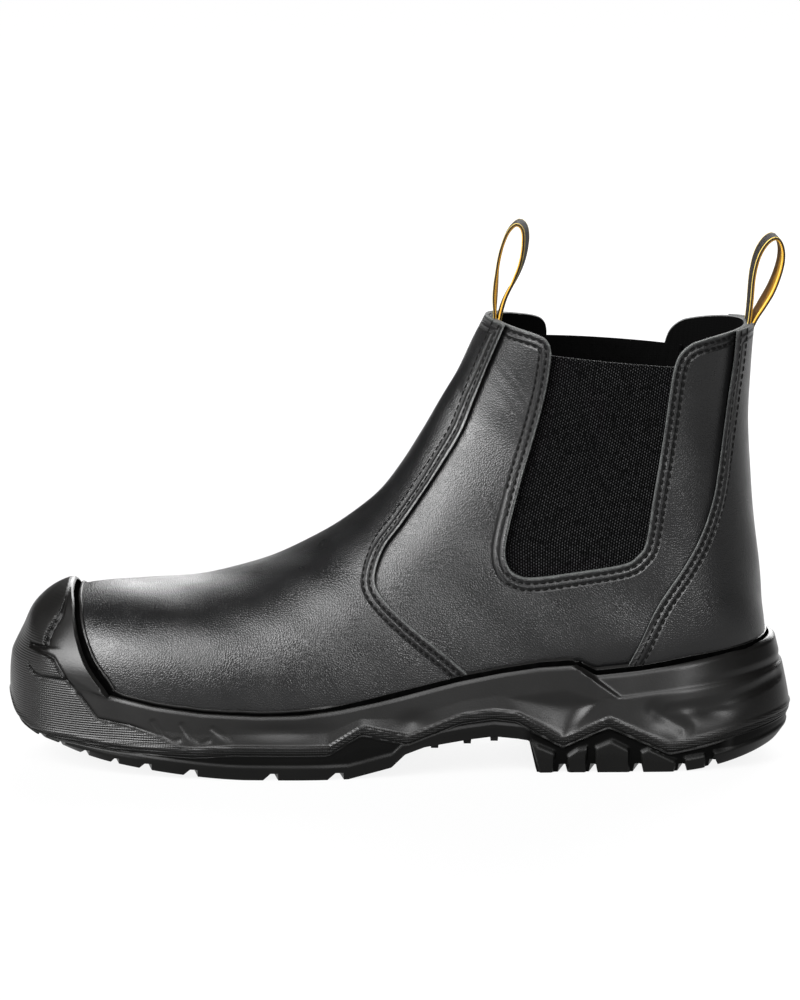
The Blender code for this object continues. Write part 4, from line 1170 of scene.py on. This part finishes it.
def wall_points(points, outward):
    """Rows of points of the sole's side wall, from the outsole's line up to the lip or the toe cap's foot."""
    x = points[:, 0]
    low, lip = wave_height(x), lip_height(x)
    lip = np.where(x < CAP_FOOT[-1][0], level(CAP_FOOT, x, 1.0), lip)
    middle = wall_middle(x)
    middle = np.where(x < CAP_FOOT[-1][0], low + 0.6 * (lip - low), middle)
    below = np.linspace(0, 1, WALL_LOW_ROWS + 1) ** 0.9
    above = np.linspace(0, 1, WALL_HIGH_ROWS + 1)[1:]
    z = np.concatenate([low + below[:, None] * (middle - low), middle + above[:, None] * (lip - middle)])
    x = np.broadcast_to(x, z.shape)
    relief, knurl, shade = wall_relief(x, z)
    inset = wall_inset(x, z)
    shaped, plain = [np.concatenate([points[None] + outward[None] * reach[..., None], z[..., None]], -1)
                     for reach in (relief - inset, -inset)]
    return shaped, plain[-1], knurl, shade


def rim_curve(tree, count):
    """The toe cap's rim on the cap's surface, from the outer side over the top to the inner side."""
    rim = smooth_line(CAP_RIM, 6)
    centre_y, centre_z = 5.0, 22.0
    points = []
    for angle in np.linspace(math.radians(10.5), math.pi - math.radians(11.5), count):
        x = -126.0
        for _ in range(8):
            ray = Vector((0, -math.cos(angle), math.sin(angle)))
            hit, _, _, _ = tree.ray_cast(Vector((x, centre_y, centre_z)), ray)
            x = float(np.interp(hit.z, rim[::-1, 1], rim[::-1, 0]))
        points.append((x, hit.y, hit.z))
    return even_count(np.array(points), count)


def even_count(line, count):
    """The same line as the given number of evenly spaced points."""
    run = np.concatenate([[0], np.cumsum(np.linalg.norm(np.diff(line, axis=0), axis=1))])
    at = np.linspace(0, run[-1], count)
    return np.stack([np.interp(at, run, line[:, k]) for k in range(3)], 1)


def fan(tree, hub, low, high, rows):
    """Rows of points on a form between two lines on it, found along rays from a hub inside it."""
    a, b = low - hub, high - hub
    a /= np.linalg.norm(a, axis=1, keepdims=True)
    b /= np.linalg.norm(b, axis=1, keepdims=True)
    grid = []
    for v in np.linspace(0, 1, rows):
        ray = a + v * (b - a)
        grid.append([tree.ray_cast(Vector(hub), Vector(r))[0] for r in ray])
    return np.array(grid)


def toe_order(plan):
    """Numbers of the outline's points under the toe cap, from the outer side round the toe to the inner side."""
    half = SOLE_STATIONS // 2
    return np.array([i for i in range(-half, half) if plan[i][0] < CAP_FOOT[-1][0]])[::-1]


def toe_cap(tree, foot):
    """Rows of points of the toe cap, from its foot up to its rim, and how far it is knurled and shaded."""
    rim = rim_curve(tree, len(foot))
    for end, at in ((0, np.arange(len(foot))), (-1, np.arange(len(foot))[::-1])):
        fade = np.clip(1 - at / 8.0, 0, 1)[:, None]
        rim = rim + fade * (foot[end] - rim[end])
    cap = fan(tree, TOE_HUB, foot, rim, CAP_ROWS)
    cap[..., 0] += nose_back(cap[..., 0], cap[..., 2])
    v = np.linspace(0, 1, CAP_ROWS)[:, None, None]
    cap = cap + (foot - cap[0]) * np.clip(1 - v / 0.4, 0, 1) ** 2 + (rim - cap[-1]) * np.clip(v * 3 - 2, 0, 1)
    relief, knurl, shade = nose_relief(cap[..., 0], cap[..., 2])
    away = cap - TOE_HUB
    away /= np.linalg.norm(away, axis=-1, keepdims=True)
    hold = np.clip((1 - v) / 0.04, 0, 1)[..., 0]
    return cap + away * (relief * hold)[..., None], knurl, shade


def join_cap(wall, cap, order, x):
    """Sets the toe cap on the wall, and smooths the join where both are plain."""
    cap[0] = wall[-1][order]
    plain = ease(x, (-131.5, -128.5))[:, None]
    column = np.concatenate([wall[-JOIN_ROWS:, order], cap[1:JOIN_ROWS + 1]])
    for _ in range(JOIN_ROUNDS):
        column[1:-1] += 0.5 * plain * (0.5 * (column[:-2] + column[2:]) - column[1:-1])
    wall[-JOIN_ROWS:, order], cap[:JOIN_ROWS + 1] = column[:JOIN_ROWS], column[JOIN_ROWS - 1:]


def lip_points(tree, edge):
    """Rows of points from the top edge of the wall and toe cap over the lip and the gutter to the leather."""
    ahead = np.roll(edge, -1, 0) - np.roll(edge, 1, 0)
    ahead /= np.linalg.norm(ahead, axis=1, keepdims=True)
    near = np.array([tree.find_nearest(Vector(p))[0] for p in edge])
    across = near - edge
    width = np.linalg.norm(across, axis=1, keepdims=True)
    upward = np.cross(across / width, ahead)
    upward *= np.where(upward[:, 2:] + 0.5 * upward[:, :1] < 0, -1.0, 1.0)
    x = edge[:, :1]
    at_ball, at_cap, at_heel = ease(x, (0.0, -45.0)), ease(x, (-108.0, -118.0)), ease(x, (96.0, 140.0))
    lip = []
    for waist, back, ball, rim_row in zip(LIP_WAIST, LIP_HEEL, LIP_FOREFOOT, CAP_RIM_ROWS):
        share = waist.share + at_heel * (back.share - waist.share) + at_ball * (ball.share - waist.share)
        rise = waist.rise + at_ball * (ball.rise - waist.rise)
        lip.append(edge + across * (share + at_cap * (rim_row.share - share))
                   + upward * (rise + at_cap * (rim_row.rise - rise)))
    return np.array(lip)


def core_height(x):
    """Height of the flat join between tread and sole unit, inside the wavy line."""
    return np.minimum(wave_height(x), level(INSOLE_SEAT, x) - SEAT_THICKNESS)


def inner_points(tree, plan, outward, upper_edge, foot, order):
    """Rows of points of the sole unit's inside, from the lip down to its lower edge."""
    under = np.column_stack([plan - outward * RIM_WIDTH, core_height(plan[:, 0]) + GAP])
    inner = np.array([upper_edge + (under - upper_edge) * s for s in np.linspace(0, 1, INNER_ROWS)])
    start = upper_edge[order]
    inside = fan(tree, TOE_HUB, foot, start, INNER_ROWS)[::-1]
    inside = inside + (start - inside[0]) * np.clip(1 - np.linspace(0, 1, INNER_ROWS) * 2, 0, 1)[:, None, None]
    blend = np.linspace(0, 1, INNER_ROWS)[:, None, None] ** 4
    inner[:, order] = inside + (under[order] - inside[-1]) * blend
    return inner


class BOOT_OT_sole_unit(bpy.types.Operator):
    """Build the moulded sole unit: sculpted side wall, lip, gutter, and the toe cap that rises from it"""
    bl_idname = "boot.sole_unit"
    bl_label = "Sole unit"

    def execute(self, context):
        settings = context.scene.boot_sole
        material = moulded_material("boot_sole_unit", settings.colour, *SOLE_FINISH, settings)
        plan, outward, way = outline_loop(SOLE_STATIONS)
        wall, top, knurl, shade = wall_points(plan, outward)
        order = toe_order(plan)
        cap_tree = skin_tree(cap_thickness, 0.1, 9.0, 120, 180)
        leather_tree = skin_tree(lambda p: 0.4 + leather_relief(p), 0.1, 16.0, 160, 160)
        cap, cap_knurl, cap_shade = toe_cap(cap_tree, top[order])
        join_cap(wall, cap, order, plan[order][:, 0])
        edge = wall[-1].copy()
        edge[order] = cap[-1]
        lip = lip_points(leather_tree, edge)
        inner = inner_points(leather_tree, plan, outward, lip[-1], top[order], order)

        parts, faces, marks, shades, uvs, index = [], [], [], [], [], []
        start_at = 0
        none = np.zeros(SOLE_STATIONS)
        for grid, closed, mark, dark, run in (
                (wall, True, knurl, shade, way), (cap, False, cap_knurl, cap_shade, way[order]),
                (lip, True, none, none, way), (inner, True, none, none, way),
                (np.array([inner[-1], wall[0]]), True, none, none, way)):
            made = grid_faces(grid.shape[0], grid.shape[1], start_at, closed)
            # The gutter rows and the sole unit's inside take the black gutter material, as painted shade
            black = GUTTER_SHADE_ROWS if grid is lip else range(INNER_ROWS) if grid is inner else ()
            index += [int(i // SOLE_STATIONS in black) for i in range(len(made))]
            faces += made
            parts.append(grid.reshape(-1, 3))
            marks.append(np.broadcast_to(mark, grid.shape[:2]).ravel())
            shades.append(np.broadcast_to(dark, grid.shape[:2]).ravel())
            uvs.append(np.stack([np.broadcast_to(run, grid.shape[:2]).ravel(), grid[..., 2].ravel()], 1) * MM)
            start_at += grid.shape[0] * grid.shape[1]
        piece = make_piece("boot_sole_unit", np.concatenate(parts), faces, [material, gutter_shade_material()], index)
        set_attribute(piece, "knurl", np.concatenate(marks))
        set_attribute(piece, "shade", np.concatenate(shades))
        set_uv(piece, np.concatenate(uvs))
        clean(piece, 0.02)
        hand_in(settle(piece, 50.0), "midsole", "midsole_with_toe_cap")
        return {"FINISHED"}


def cross_groove(index, groove, material):
    """A chevron cutter right across the tread, wider at the floor than at its top."""
    ground = float(sole_ground(groove.x))
    point = -CHEVRON if groove.x < 0 else CHEVRON
    half_width = -np.interp(groove.x, [s.x for s in SOLE_OUTLINE], [s.outer for s in SOLE_OUTLINE])
    wing = groove.x + point * (1 - 80.0 / half_width)
    line = [(wing, -80.0), (groove.x + point, 0.0), (wing, 80.0)]
    points = []
    width, depth = groove.width * GROOVE_SHARE[0], groove.depth * GROOVE_SHARE[1]
    ahead, behind = FRONT_GROOVE_DRAFT if groove.x < 0 else (GROOVE_DRAFT, GROOVE_DRAFT)
    for ahead, behind, z in ((ahead, behind, ground - 3.0), (1.0, 1.0, ground + depth)):
        points += [(x - ahead * width / 2, y, z) for x, y in line]
        points += [(x + behind * width / 2, y, z) for x, y in reversed(line)]
    faces = [tuple(range(6)), tuple(range(6, 12))] + grid_faces(2, 6, closed=True)
    return clean(make_piece(f"groove_{index}", points, faces, [material]))


def long_channel(index, channel, material):
    """A cutter along the tread that follows the toe spring."""
    half, points = CHANNEL_WIDTH / 2, []
    xs = np.linspace(channel.start, channel.end, 16)
    for x in xs:
        low, top = float(sole_ground(x)) - 3.0, float(sole_ground(x)) + CHANNEL_DEPTH
        wide = half * GROOVE_DRAFT
        points += [(x, channel.y - wide, low), (x, channel.y + wide, low), (x, channel.y + half, top),
                   (x, channel.y - half, top)]
    last = 4 * len(xs)
    faces = [(0, 1, 2, 3), (last - 4, last - 3, last - 2, last - 1)] + grid_faces(len(xs), 4, closed=True)
    return clean(make_piece(f"channel_{index}", points, faces, [material]))


def arch_rib(index, x, material):
    """A rib across the tread under the arch."""
    low = float(sole_ground(x)) - RIB_DROP
    top, foot = RIB_HALF_WIDTHS
    outline = [(x - top, low + RIB_HEIGHT), (x - foot, low), (x + foot, low), (x + top, low + RIB_HEIGHT)]
    return side_prism(f"rib_{index}", outline, material, *RIB_ENDS)


def tread_rows(plan, outward):
    """Rows of points up the tread's side and in under the sole unit, and how far they are shaded."""
    x = plan[:, 0]
    ground, wave = sole_ground(x), wave_height(x)
    edge = EDGE_INSET + (TOE_EDGE_INSET - EDGE_INSET) * ease(x, TOE_TURN) + (
        HEEL_EDGE_INSET - EDGE_INSET) * ease(x, HEEL_TURN)
    heel = ease(x, (47.0, 53.0)) * ease(x, (133.0, 126.0))
    toe = ease(x, (-90.0, -106.0))
    rows, shades = [], []
    for share in np.linspace(0, 1, TREAD_ROWS):
        z = ground + share * (wave - ground)
        inset = edge * np.interp(share, TREAD_SHARES, TREAD_INSETS)
        inset = inset + 0.6 * np.exp(-((z - wave + 2.3) / 0.35) ** 2)
        inset = inset + TOE_BAND * toe * np.clip((share - 0.45) / 0.55, 0, 1)
        ledge = np.clip((z - ground - LUG_HEIGHT) / 1.1, 0, 1) * np.clip((wave - 2.6 - z) / 0.5, 0, 1)
        ledge = ledge * (1 - heel)
        recess = np.clip((wave - 3.2 - z) / 0.7, 0, 1) * heel
        for lug in HEEL_LUGS:
            recess = recess * (1 - dent_depth(lug, x, z))
        inset = inset + LUG_LEDGE * ledge + LUG_RECESS * recess
        # Painted shade in the recesses between the heel's lugs and above the front lugs
        shades.append(np.clip(1.3 * recess - 0.3, 0, 1) + 0.7 * np.clip(4 * ledge - 3, 0, 1))
        rows.append(np.column_stack([plan - outward * inset[:, None], z]))
    rows.append(np.column_stack([plan - outward * RIM_WIDTH, core_height(x)]))
    shades.append(np.zeros(len(x)))
    return np.array(rows), np.concatenate(shades)


def tread_faces(rows, count):
    """Faces of the tread's side, and of its underside and top as strips from side to side."""
    faces = grid_faces(rows, count, closed=True)
    for base, flip in ((0, True), ((rows - 1) * count, False)):
        for i in range(count // 2):
            quad = [base + i, base + i + 1, base + (count - i - 1) % count, base + (count - i) % count]
            quad = list(dict.fromkeys(quad))
            faces.append(tuple(quad[::-1] if flip else quad))
    return faces


class BOOT_OT_outsole(bpy.types.Operator):
    """Build the tread: lugs, grooves, ribs under the arch and the wavy line where it meets the sole unit"""
    bl_idname = "boot.outsole"
    bl_label = "Outsole"

    def execute(self, context):
        settings = context.scene.boot_sole
        material = moulded_material("boot_outsole", settings.tread, *TREAD_FINISH, settings)
        plan, outward, way = outline_loop(TREAD_STATIONS)
        rows, shades = tread_rows(plan, outward)
        piece = make_piece("boot_outsole", rows.reshape(-1, 3), tread_faces(len(rows), TREAD_STATIONS), [material])
        band = np.clip((rows[..., 2] - (wave_height(plan[:, 0]) - 2.1)) / 0.4, 0, 1)
        band[-1] = 0
        set_attribute(piece, "knurl", band.ravel())
        set_attribute(piece, "shade", shades)
        set_uv(piece, np.stack([np.broadcast_to(way, rows.shape[:2]).ravel(), rows[..., 2].ravel()], 1) * MM)
        clean(piece)
        cut(piece, "UNION", [arch_rib(i, x, material) for i, x in enumerate(ARCH_RIBS)])
        cutters = [cross_groove(i, g, material) for i, g in enumerate(CROSS_GROOVES)]
        cutters += [long_channel(i, c, material) for i, c in enumerate(LONG_CHANNELS)]
        cut(piece, "DIFFERENCE", cutters)
        hand_in(piece, "outsole", "outsole")
        return {"FINISHED"}


class BOOT_OT_insole(bpy.types.Operator):
    """Build the footbed inside the boot"""
    bl_idname = "boot.insole"
    bl_label = "Insole"

    def execute(self, context):
        material = fabric_material("boot_insole", *INSOLE_FABRIC)
        tree = skin_tree(lambda p: np.full(p.shape[:-1], -INSOLE_DEPTH - GAP))
        u = np.linspace(0, 1, INSOLE_ACROSS)
        dish = np.abs(2 * u - 1) ** 3
        rise = INSOLE_THICKNESS * (0.86 + 0.14 * dish) - 1.2 * (dish > 0.98)
        rows = []
        for x in np.linspace(*INSOLE_SPAN, INSOLE_ROWS):
            seat = float(level(INSOLE_SEAT, x, 4.0)) + GAP
            (left, _), (right, _) = [seen(tree, [(x, seat + 2.4)], side) for side in (-1, 1)]
            if not len(left) or not len(right):
                continue
            y = left[0][1] + (right[0][1] - left[0][1]) * u
            base, top = [np.column_stack([np.full(INSOLE_ACROSS, x), y, seat + z]) for z in (0 * u, rise)]
            rows.append(np.concatenate([base, top[::-1]]))
        rows = np.array(rows)
        around = 2 * INSOLE_ACROSS
        faces = grid_faces(len(rows), around, closed=True)
        faces += [tuple(range(around)), tuple((len(rows) - 1) * around + i for i in range(around))]
        piece = clean(make_piece("boot_insole", rows.reshape(-1, 3), faces, [material]))
        hand_in(settle(piece), "insole", "insole")
        return {"FINISHED"}


# ---------------------------------------------------------------- webbing and thread

def tape_section():
    """Outline of the tape's section: places across it, and how far they lie to either face (1 and -1)."""
    wide = LOOP_WIDTH / 2
    face = [(-wide, 0.25), (-wide + 0.5, 1.0)] + [(y, 1.0) for y in np.linspace(-wide + 1.6, wide - 1.6, 7)]
    face += [(wide - 0.5, 1.0), (wide, 0.25)]
    return face + [(y, -side) for y, side in face[::-1]]


def hanging_tape(route, twist):
    """Rows of points of the tape along a route, turned about its foot above the collar, and their UV places."""
    line = even_line(smooth_line(route, 8), 1.2)
    ahead = np.gradient(line, axis=0)
    ahead /= np.linalg.norm(ahead, axis=1, keepdims=True)
    left = np.stack([-ahead[:, 1], ahead[:, 0]], 1)
    run = np.concatenate([[0], np.cumsum(np.linalg.norm(np.diff(line, axis=0), axis=1))])
    half, section = LOOP_THICKNESS / 2, tape_section()
    rows, uv = [], []
    for p, n, s in zip(line, left, run):
        rows.append([(p[0] + n[0] * half * f, y, p[1] + n[1] * half * f) for y, f in section])
        uv += [(s * MM, y * MM) for y, _ in section]
    points = np.array(rows)
    foot_x, foot_z = route[2]
    degrees = np.interp(run / run[-1], np.linspace(0, 1, len(twist)), twist)
    turn = ease(points[..., 2], (foot_z - 4.0, foot_z + 12.0)) * np.radians(degrees)[:, None]
    dx, dy = points[..., 0] - foot_x, points[..., 1]
    turned = np.stack([foot_x + dx * np.cos(turn) - dy * np.sin(turn),
                       LOOP_CENTRE_Y + dx * np.sin(turn) + dy * np.cos(turn), points[..., 2]], -1)
    return turned, uv


class BOOT_OT_loops(bpy.types.Operator):
    """Build the two pull loops of webbing, dark outside and gold inside"""
    bl_idname = "boot.loops"
    bl_label = "Pull loops"

    def execute(self, context):
        settings = context.scene.boot_webbing
        outside = webbing_material("boot_webbing_outside", settings.outside, settings.stripe)
        inside = webbing_material("boot_webbing_inside", settings.inside, settings.stripe)
        for name, node, route, twist in (("boot_loop_front", "pull_loop_front", FRONT_LOOP, FRONT_TWIST),
                                         ("boot_loop_back", "pull_loop_back", BACK_LOOP, BACK_TWIST)):
            points, uv = hanging_tape(route, np.array(twist) * settings.twist)
            rows, count = points.shape[:2]
            faces = grid_faces(rows, count, closed=True)
            index = [int(count // 2 <= f % count < count - 1) for f in range(len(faces))]
            faces += [tuple(range(count)), tuple((rows - 1) * count + i for i in range(count))]
            loop = make_piece(name, points.reshape(-1, 3), faces, [outside, inside], index + [0, 0])
            set_uv(loop, uv)
            hand_in(settle(clean(loop), 60.0), "webbing", node)
        return {"FINISHED"}


def stitch_tree():
    """Node tree that sets a stitch at every pitch along the edges of a mesh, with its back to the leather."""
    tree = bpy.data.node_groups.new("boot_stitches", "GeometryNodeTree")
    face = tree.interface
    face.new_socket("Geometry", in_out="INPUT", socket_type="NodeSocketGeometry")
    for name in ("Pitch", "Length", "Thread"):
        face.new_socket(name, in_out="INPUT", socket_type="NodeSocketFloat")
    face.new_socket("Material", in_out="INPUT", socket_type="NodeSocketMaterial")
    face.new_socket("Geometry", in_out="OUTPUT", socket_type="NodeSocketGeometry")

    def add(kind, links=None, values=None, **settings):
        node = tree.nodes.new(kind)
        for key, value in settings.items():
            setattr(node, key, value)
        for key, value in (values or {}).items():
            node.inputs[key].default_value = value
        for key, socket in (links or {}).items():
            tree.links.new(socket, node.inputs[key])
        return node

    given = add("NodeGroupInput").outputs
    curve = add("GeometryNodeMeshToCurve", {"Mesh": given["Geometry"]})
    even = add("GeometryNodeResampleCurve", {"Curve": curve.outputs["Curve"], "Length": given["Pitch"]},
               mode="LENGTH")
    half = add("ShaderNodeMath", {0: given["Length"]}, {1: 0.5}, operation="MULTIPLY")
    thin = add("ShaderNodeMath", {0: given["Thread"]}, {1: 0.5}, operation="MULTIPLY")
    size = add("ShaderNodeCombineXYZ", {"X": half.outputs[0], "Y": thin.outputs[0], "Z": thin.outputs[0]})
    ball = add("GeometryNodeMeshUVSphere", None, {"Segments": 8, "Rings": 5, "Radius": 1.0})
    on_side = add("GeometryNodeTransform", {"Geometry": ball.outputs["Mesh"]},
                  {"Rotation": (0, math.pi / 2, 0)})
    stitch = add("GeometryNodeTransform", {"Geometry": on_side.outputs[0], "Scale": size.outputs[0]})
    tangent = add("GeometryNodeInputTangent")
    along = add("FunctionNodeAlignRotationToVector", {"Vector": tangent.outputs[0]}, axis="X")
    lift = add("GeometryNodeInputNamedAttribute", None, {"Name": "lift"}, data_type="FLOAT_VECTOR")
    facing = add("FunctionNodeAlignRotationToVector",
                 {"Rotation": along.outputs[0], "Vector": lift.outputs["Attribute"]}, axis="Z", pivot_axis="X")
    placed = add("GeometryNodeInstanceOnPoints", {"Points": even.outputs["Curve"], "Instance": stitch.outputs[0],
                                                  "Rotation": facing.outputs[0]})
    real = add("GeometryNodeRealizeInstances", {"Geometry": placed.outputs[0]})
    shaded = add("GeometryNodeSetMaterial", {"Geometry": real.outputs[0], "Material": given["Material"]})
    add("NodeGroupOutput", {"Geometry": shaded.outputs[0]})
    return tree


def mesh_tree(names):
    """Search tree, in millimetres, of finished pieces."""
    points, faces = [], []
    for name in names:
        mesh = bpy.data.objects[name].data
        start = len(points)
        points += [v.co / MM for v in mesh.vertices]
        faces += [[start + i for i in p.vertices] for p in mesh.polygons]
    return BVHTree.FromPolygons(points, faces)


def laid_stitches(name, rows, form, sizes, material):
    """A piece with a stitch at every pitch along side-view rows, laid on a form from both sides."""
    points, edges, lifts = [], [], []
    for row in rows:
        for side in (-1, 1):
            on, normal = seen(form, row, side)
            keep = np.linalg.norm(np.diff(on, axis=0), axis=1) < 4.0
            start = len(points)
            points += [tuple(p + 0.02 * n) for p, n in zip(on, normal)]
            lifts += [tuple(n) for n in normal]
            edges += [(start + i, start + i + 1) for i in range(len(on) - 1) if keep[i]]
    mesh = bpy.data.meshes.new(name)
    mesh.from_pydata((np.array(points) * MM).tolist(), edges, [])
    lift = mesh.attributes.new("lift", "FLOAT_VECTOR", "POINT")
    lift.data.foreach_set("vector", np.array(lifts, dtype=np.float32).ravel())
    piece = bpy.data.objects.new(name, mesh)
    bpy.context.scene.collection.objects.link(piece)
    modifier = piece.modifiers.new("stitches", "NODES")
    modifier.node_group = bpy.data.node_groups.get("boot_stitches") or stitch_tree()
    wanted = {**sizes, "Material": material}
    for item in modifier.node_group.interface.items_tree:
        if item.in_out == "INPUT" and item.name in wanted:
            modifier[item.identifier] = wanted[item.name]
    return settle(piece, 180.0)


class BOOT_OT_stitches(bpy.types.Operator):
    """Sew the double rows along the seams, the windows of the gores and the collar"""
    bl_idname = "boot.stitches"
    bl_label = "Stitches"

    def execute(self, context):
        settings = context.scene.boot_stitch
        rows = []
        collar = collar_line()
        for line, way, (from_x, to_x) in ((smooth_line(VAMP_SEAM, 8), -1, (-FAR, FAR)),
                                          (smooth_line(COUNTER_SEAM, 8), 1, (-FAR, FAR)),
                                          (collar, -1, COLLAR_STITCHES)):
            for distance in (settings.first, settings.second):
                path = even_line(moved_line(even_line(line, 0.8), way * distance / MM), 0.6)
                path = path[(path[:, 0] > from_x) & (path[:, 0] < to_x)]
                path = path[path[:, 1] > lip_height(path[:, 0]) + 0.5]
                rows.append(path[(path[:, 1] < collar_height(path[:, 0]) - 1.2) | (line is collar)])
        leather = mesh_tree(["boot_quarters", "boot_vamp", "boot_counter"])
        sizes = {"Pitch": settings.pitch, "Length": settings.length, "Thread": settings.thread}
        hand_in(laid_stitches("boot_stitches", rows, leather, sizes, thread_material(settings)), "leather")
        return {"FINISHED"}


class BOOT_OT_beads(bpy.types.Operator):
    """Set the rows of small beads along the edge of the knurled panel on the toe cap"""
    bl_idname = "boot.beads"
    bl_label = "Toe cap beads"

    def execute(self, context):
        settings = context.scene.boot_sole
        rows = [even_line(np.array(line), 0.5) for line in BEAD_LINES]
        sizes = {"Pitch": settings.bead * 1.2, "Length": settings.bead, "Thread": settings.bead}
        beads = laid_stitches("boot_cap_beads", rows, mesh_tree(["boot_sole_unit"]), sizes,
                              bpy.data.materials["boot_sole_unit"])
        hand_in(beads, "midsole")
        return {"FINISHED"}


# ---------------------------------------------------------------- stage

def area_light(name, stands, aim, size, power):
    """A soft rectangular light."""
    light = bpy.data.lights.new(name, "AREA")
    light.shape = "RECTANGLE"
    light.size, light.size_y = size
    light.energy = power
    obj = bpy.data.objects.new(name, light)
    obj.location = stands
    obj.rotation_euler = (Vector(aim) - Vector(stands)).to_track_quat("-Z", "Y").to_euler()
    bpy.context.scene.collection.objects.link(obj)


class BOOT_OT_stage(bpy.types.Operator):
    """Set up the floor, the lights and the camera"""
    bl_idname = "boot.stage"
    bl_label = "Stage"

    def execute(self, context):
        settings = context.scene.boot_stage
        scene = context.scene
        s = Shader("boot_floor")
        away = s.node("VectorMath", {0: place(s)}, operation="LENGTH").outputs["Value"]
        # The floor's glow is painted light, dimmed near the boot as painted shade
        s.put(s.surface, {"Base Color": (0.03, 0.03, 0.03, 1), "Roughness": 0.8, "Specular IOR Level": 0.1,
                          "Emission Color": (1, 1, 1, 1),
                          "Emission Strength": s.span(away, *FLOOR_GLOW_SPAN, *FLOOR_GLOW)})
        corners = [(-FLOOR_REACH, -FLOOR_REACH, 0), (FLOOR_REACH, -FLOOR_REACH, 0), (FLOOR_REACH, FLOOR_REACH, 0),
                   (-FLOOR_REACH, FLOOR_REACH, 0)]
        floor = make_piece("boot_floor", corners, [(0, 1, 2, 3)], [s.material])
        world = bpy.data.worlds.new("boot_world")
        world.use_nodes = True
        world.node_tree.nodes["Background"].inputs["Color"].default_value = (1, 1, 1, 1)
        world.node_tree.nodes["Background"].inputs["Strength"].default_value = settings.world
        scene.world = world
        for name, light in LIGHTS.items():
            area_light(name, *light, getattr(settings, name))
        camera = bpy.data.cameras.new("camera")
        camera.lens = settings.lens
        camera.sensor_width = 36.0
        camera.clip_end = 50.0
        camera.dof.use_dof = False
        obj = bpy.data.objects.new("camera", camera)
        obj.location = (0.0, -settings.distance * math.cos(settings.pitch),
                        settings.height + settings.distance * math.sin(settings.pitch))
        obj.rotation_euler = (math.pi / 2 - settings.pitch, 0.0, 0.0)
        scene.collection.objects.link(obj)
        scene.camera = obj
        scene.view_settings.view_transform = "Standard"
        return {"FINISHED"}


class BOOT_PT_panel(bpy.types.Panel):
    bl_label = "Safety boot"
    bl_idname = "BOOT_PT_panel"
    bl_space_type = "VIEW_3D"
    bl_region_type = "UI"
    bl_category = "Boot"

    def draw(self, context):
        for group, operators in PANEL_ROWS:
            box = self.layout.box()
            if group:
                settings = getattr(context.scene, group)
                for name in settings.__annotations__:
                    box.prop(settings, name)
            for operator in operators:
                box.operator(operator)


PANEL_ROWS = (
    ("boot_sole", ("boot.outsole", "boot.sole_unit", "boot.beads")),
    ("boot_leather", ("boot.upper",)),
    ("boot_elastic", ("boot.gores",)),
    (None, ("boot.insole",)),
    ("boot_webbing", ("boot.loops",)),
    ("boot_stitch", ("boot.stitches",)),
    ("boot_stage", ("boot.stage",)),
)
SETTINGS = {
    "boot_leather": BootLeatherSettings,
    "boot_sole": BootSoleSettings,
    "boot_elastic": BootElasticSettings,
    "boot_webbing": BootWebbingSettings,
    "boot_stitch": BootStitchSettings,
    "boot_stage": BootStageSettings,
}
CLASSES = tuple(SETTINGS.values()) + (
    BOOT_OT_outsole, BOOT_OT_sole_unit, BOOT_OT_beads, BOOT_OT_upper, BOOT_OT_gores, BOOT_OT_insole, BOOT_OT_loops,
    BOOT_OT_stitches, BOOT_OT_stage, BOOT_PT_panel,
)


def register():
    for cls in CLASSES:
        bpy.utils.register_class(cls)
    for name, cls in SETTINGS.items():
        setattr(bpy.types.Scene, name, PointerProperty(type=cls))


def unregister():
    for name in SETTINGS:
        delattr(bpy.types.Scene, name)
    for cls in reversed(CLASSES):
        bpy.utils.unregister_class(cls)


def main():
    register()
    bpy.ops.boot.outsole()
    bpy.ops.boot.sole_unit()
    bpy.ops.boot.beads()
    bpy.ops.boot.upper()
    bpy.ops.boot.gores()
    bpy.ops.boot.insole()
    bpy.ops.boot.loops()
    bpy.ops.boot.stitches()
    bpy.ops.boot.stage()


if __name__ == "__main__":
    main()
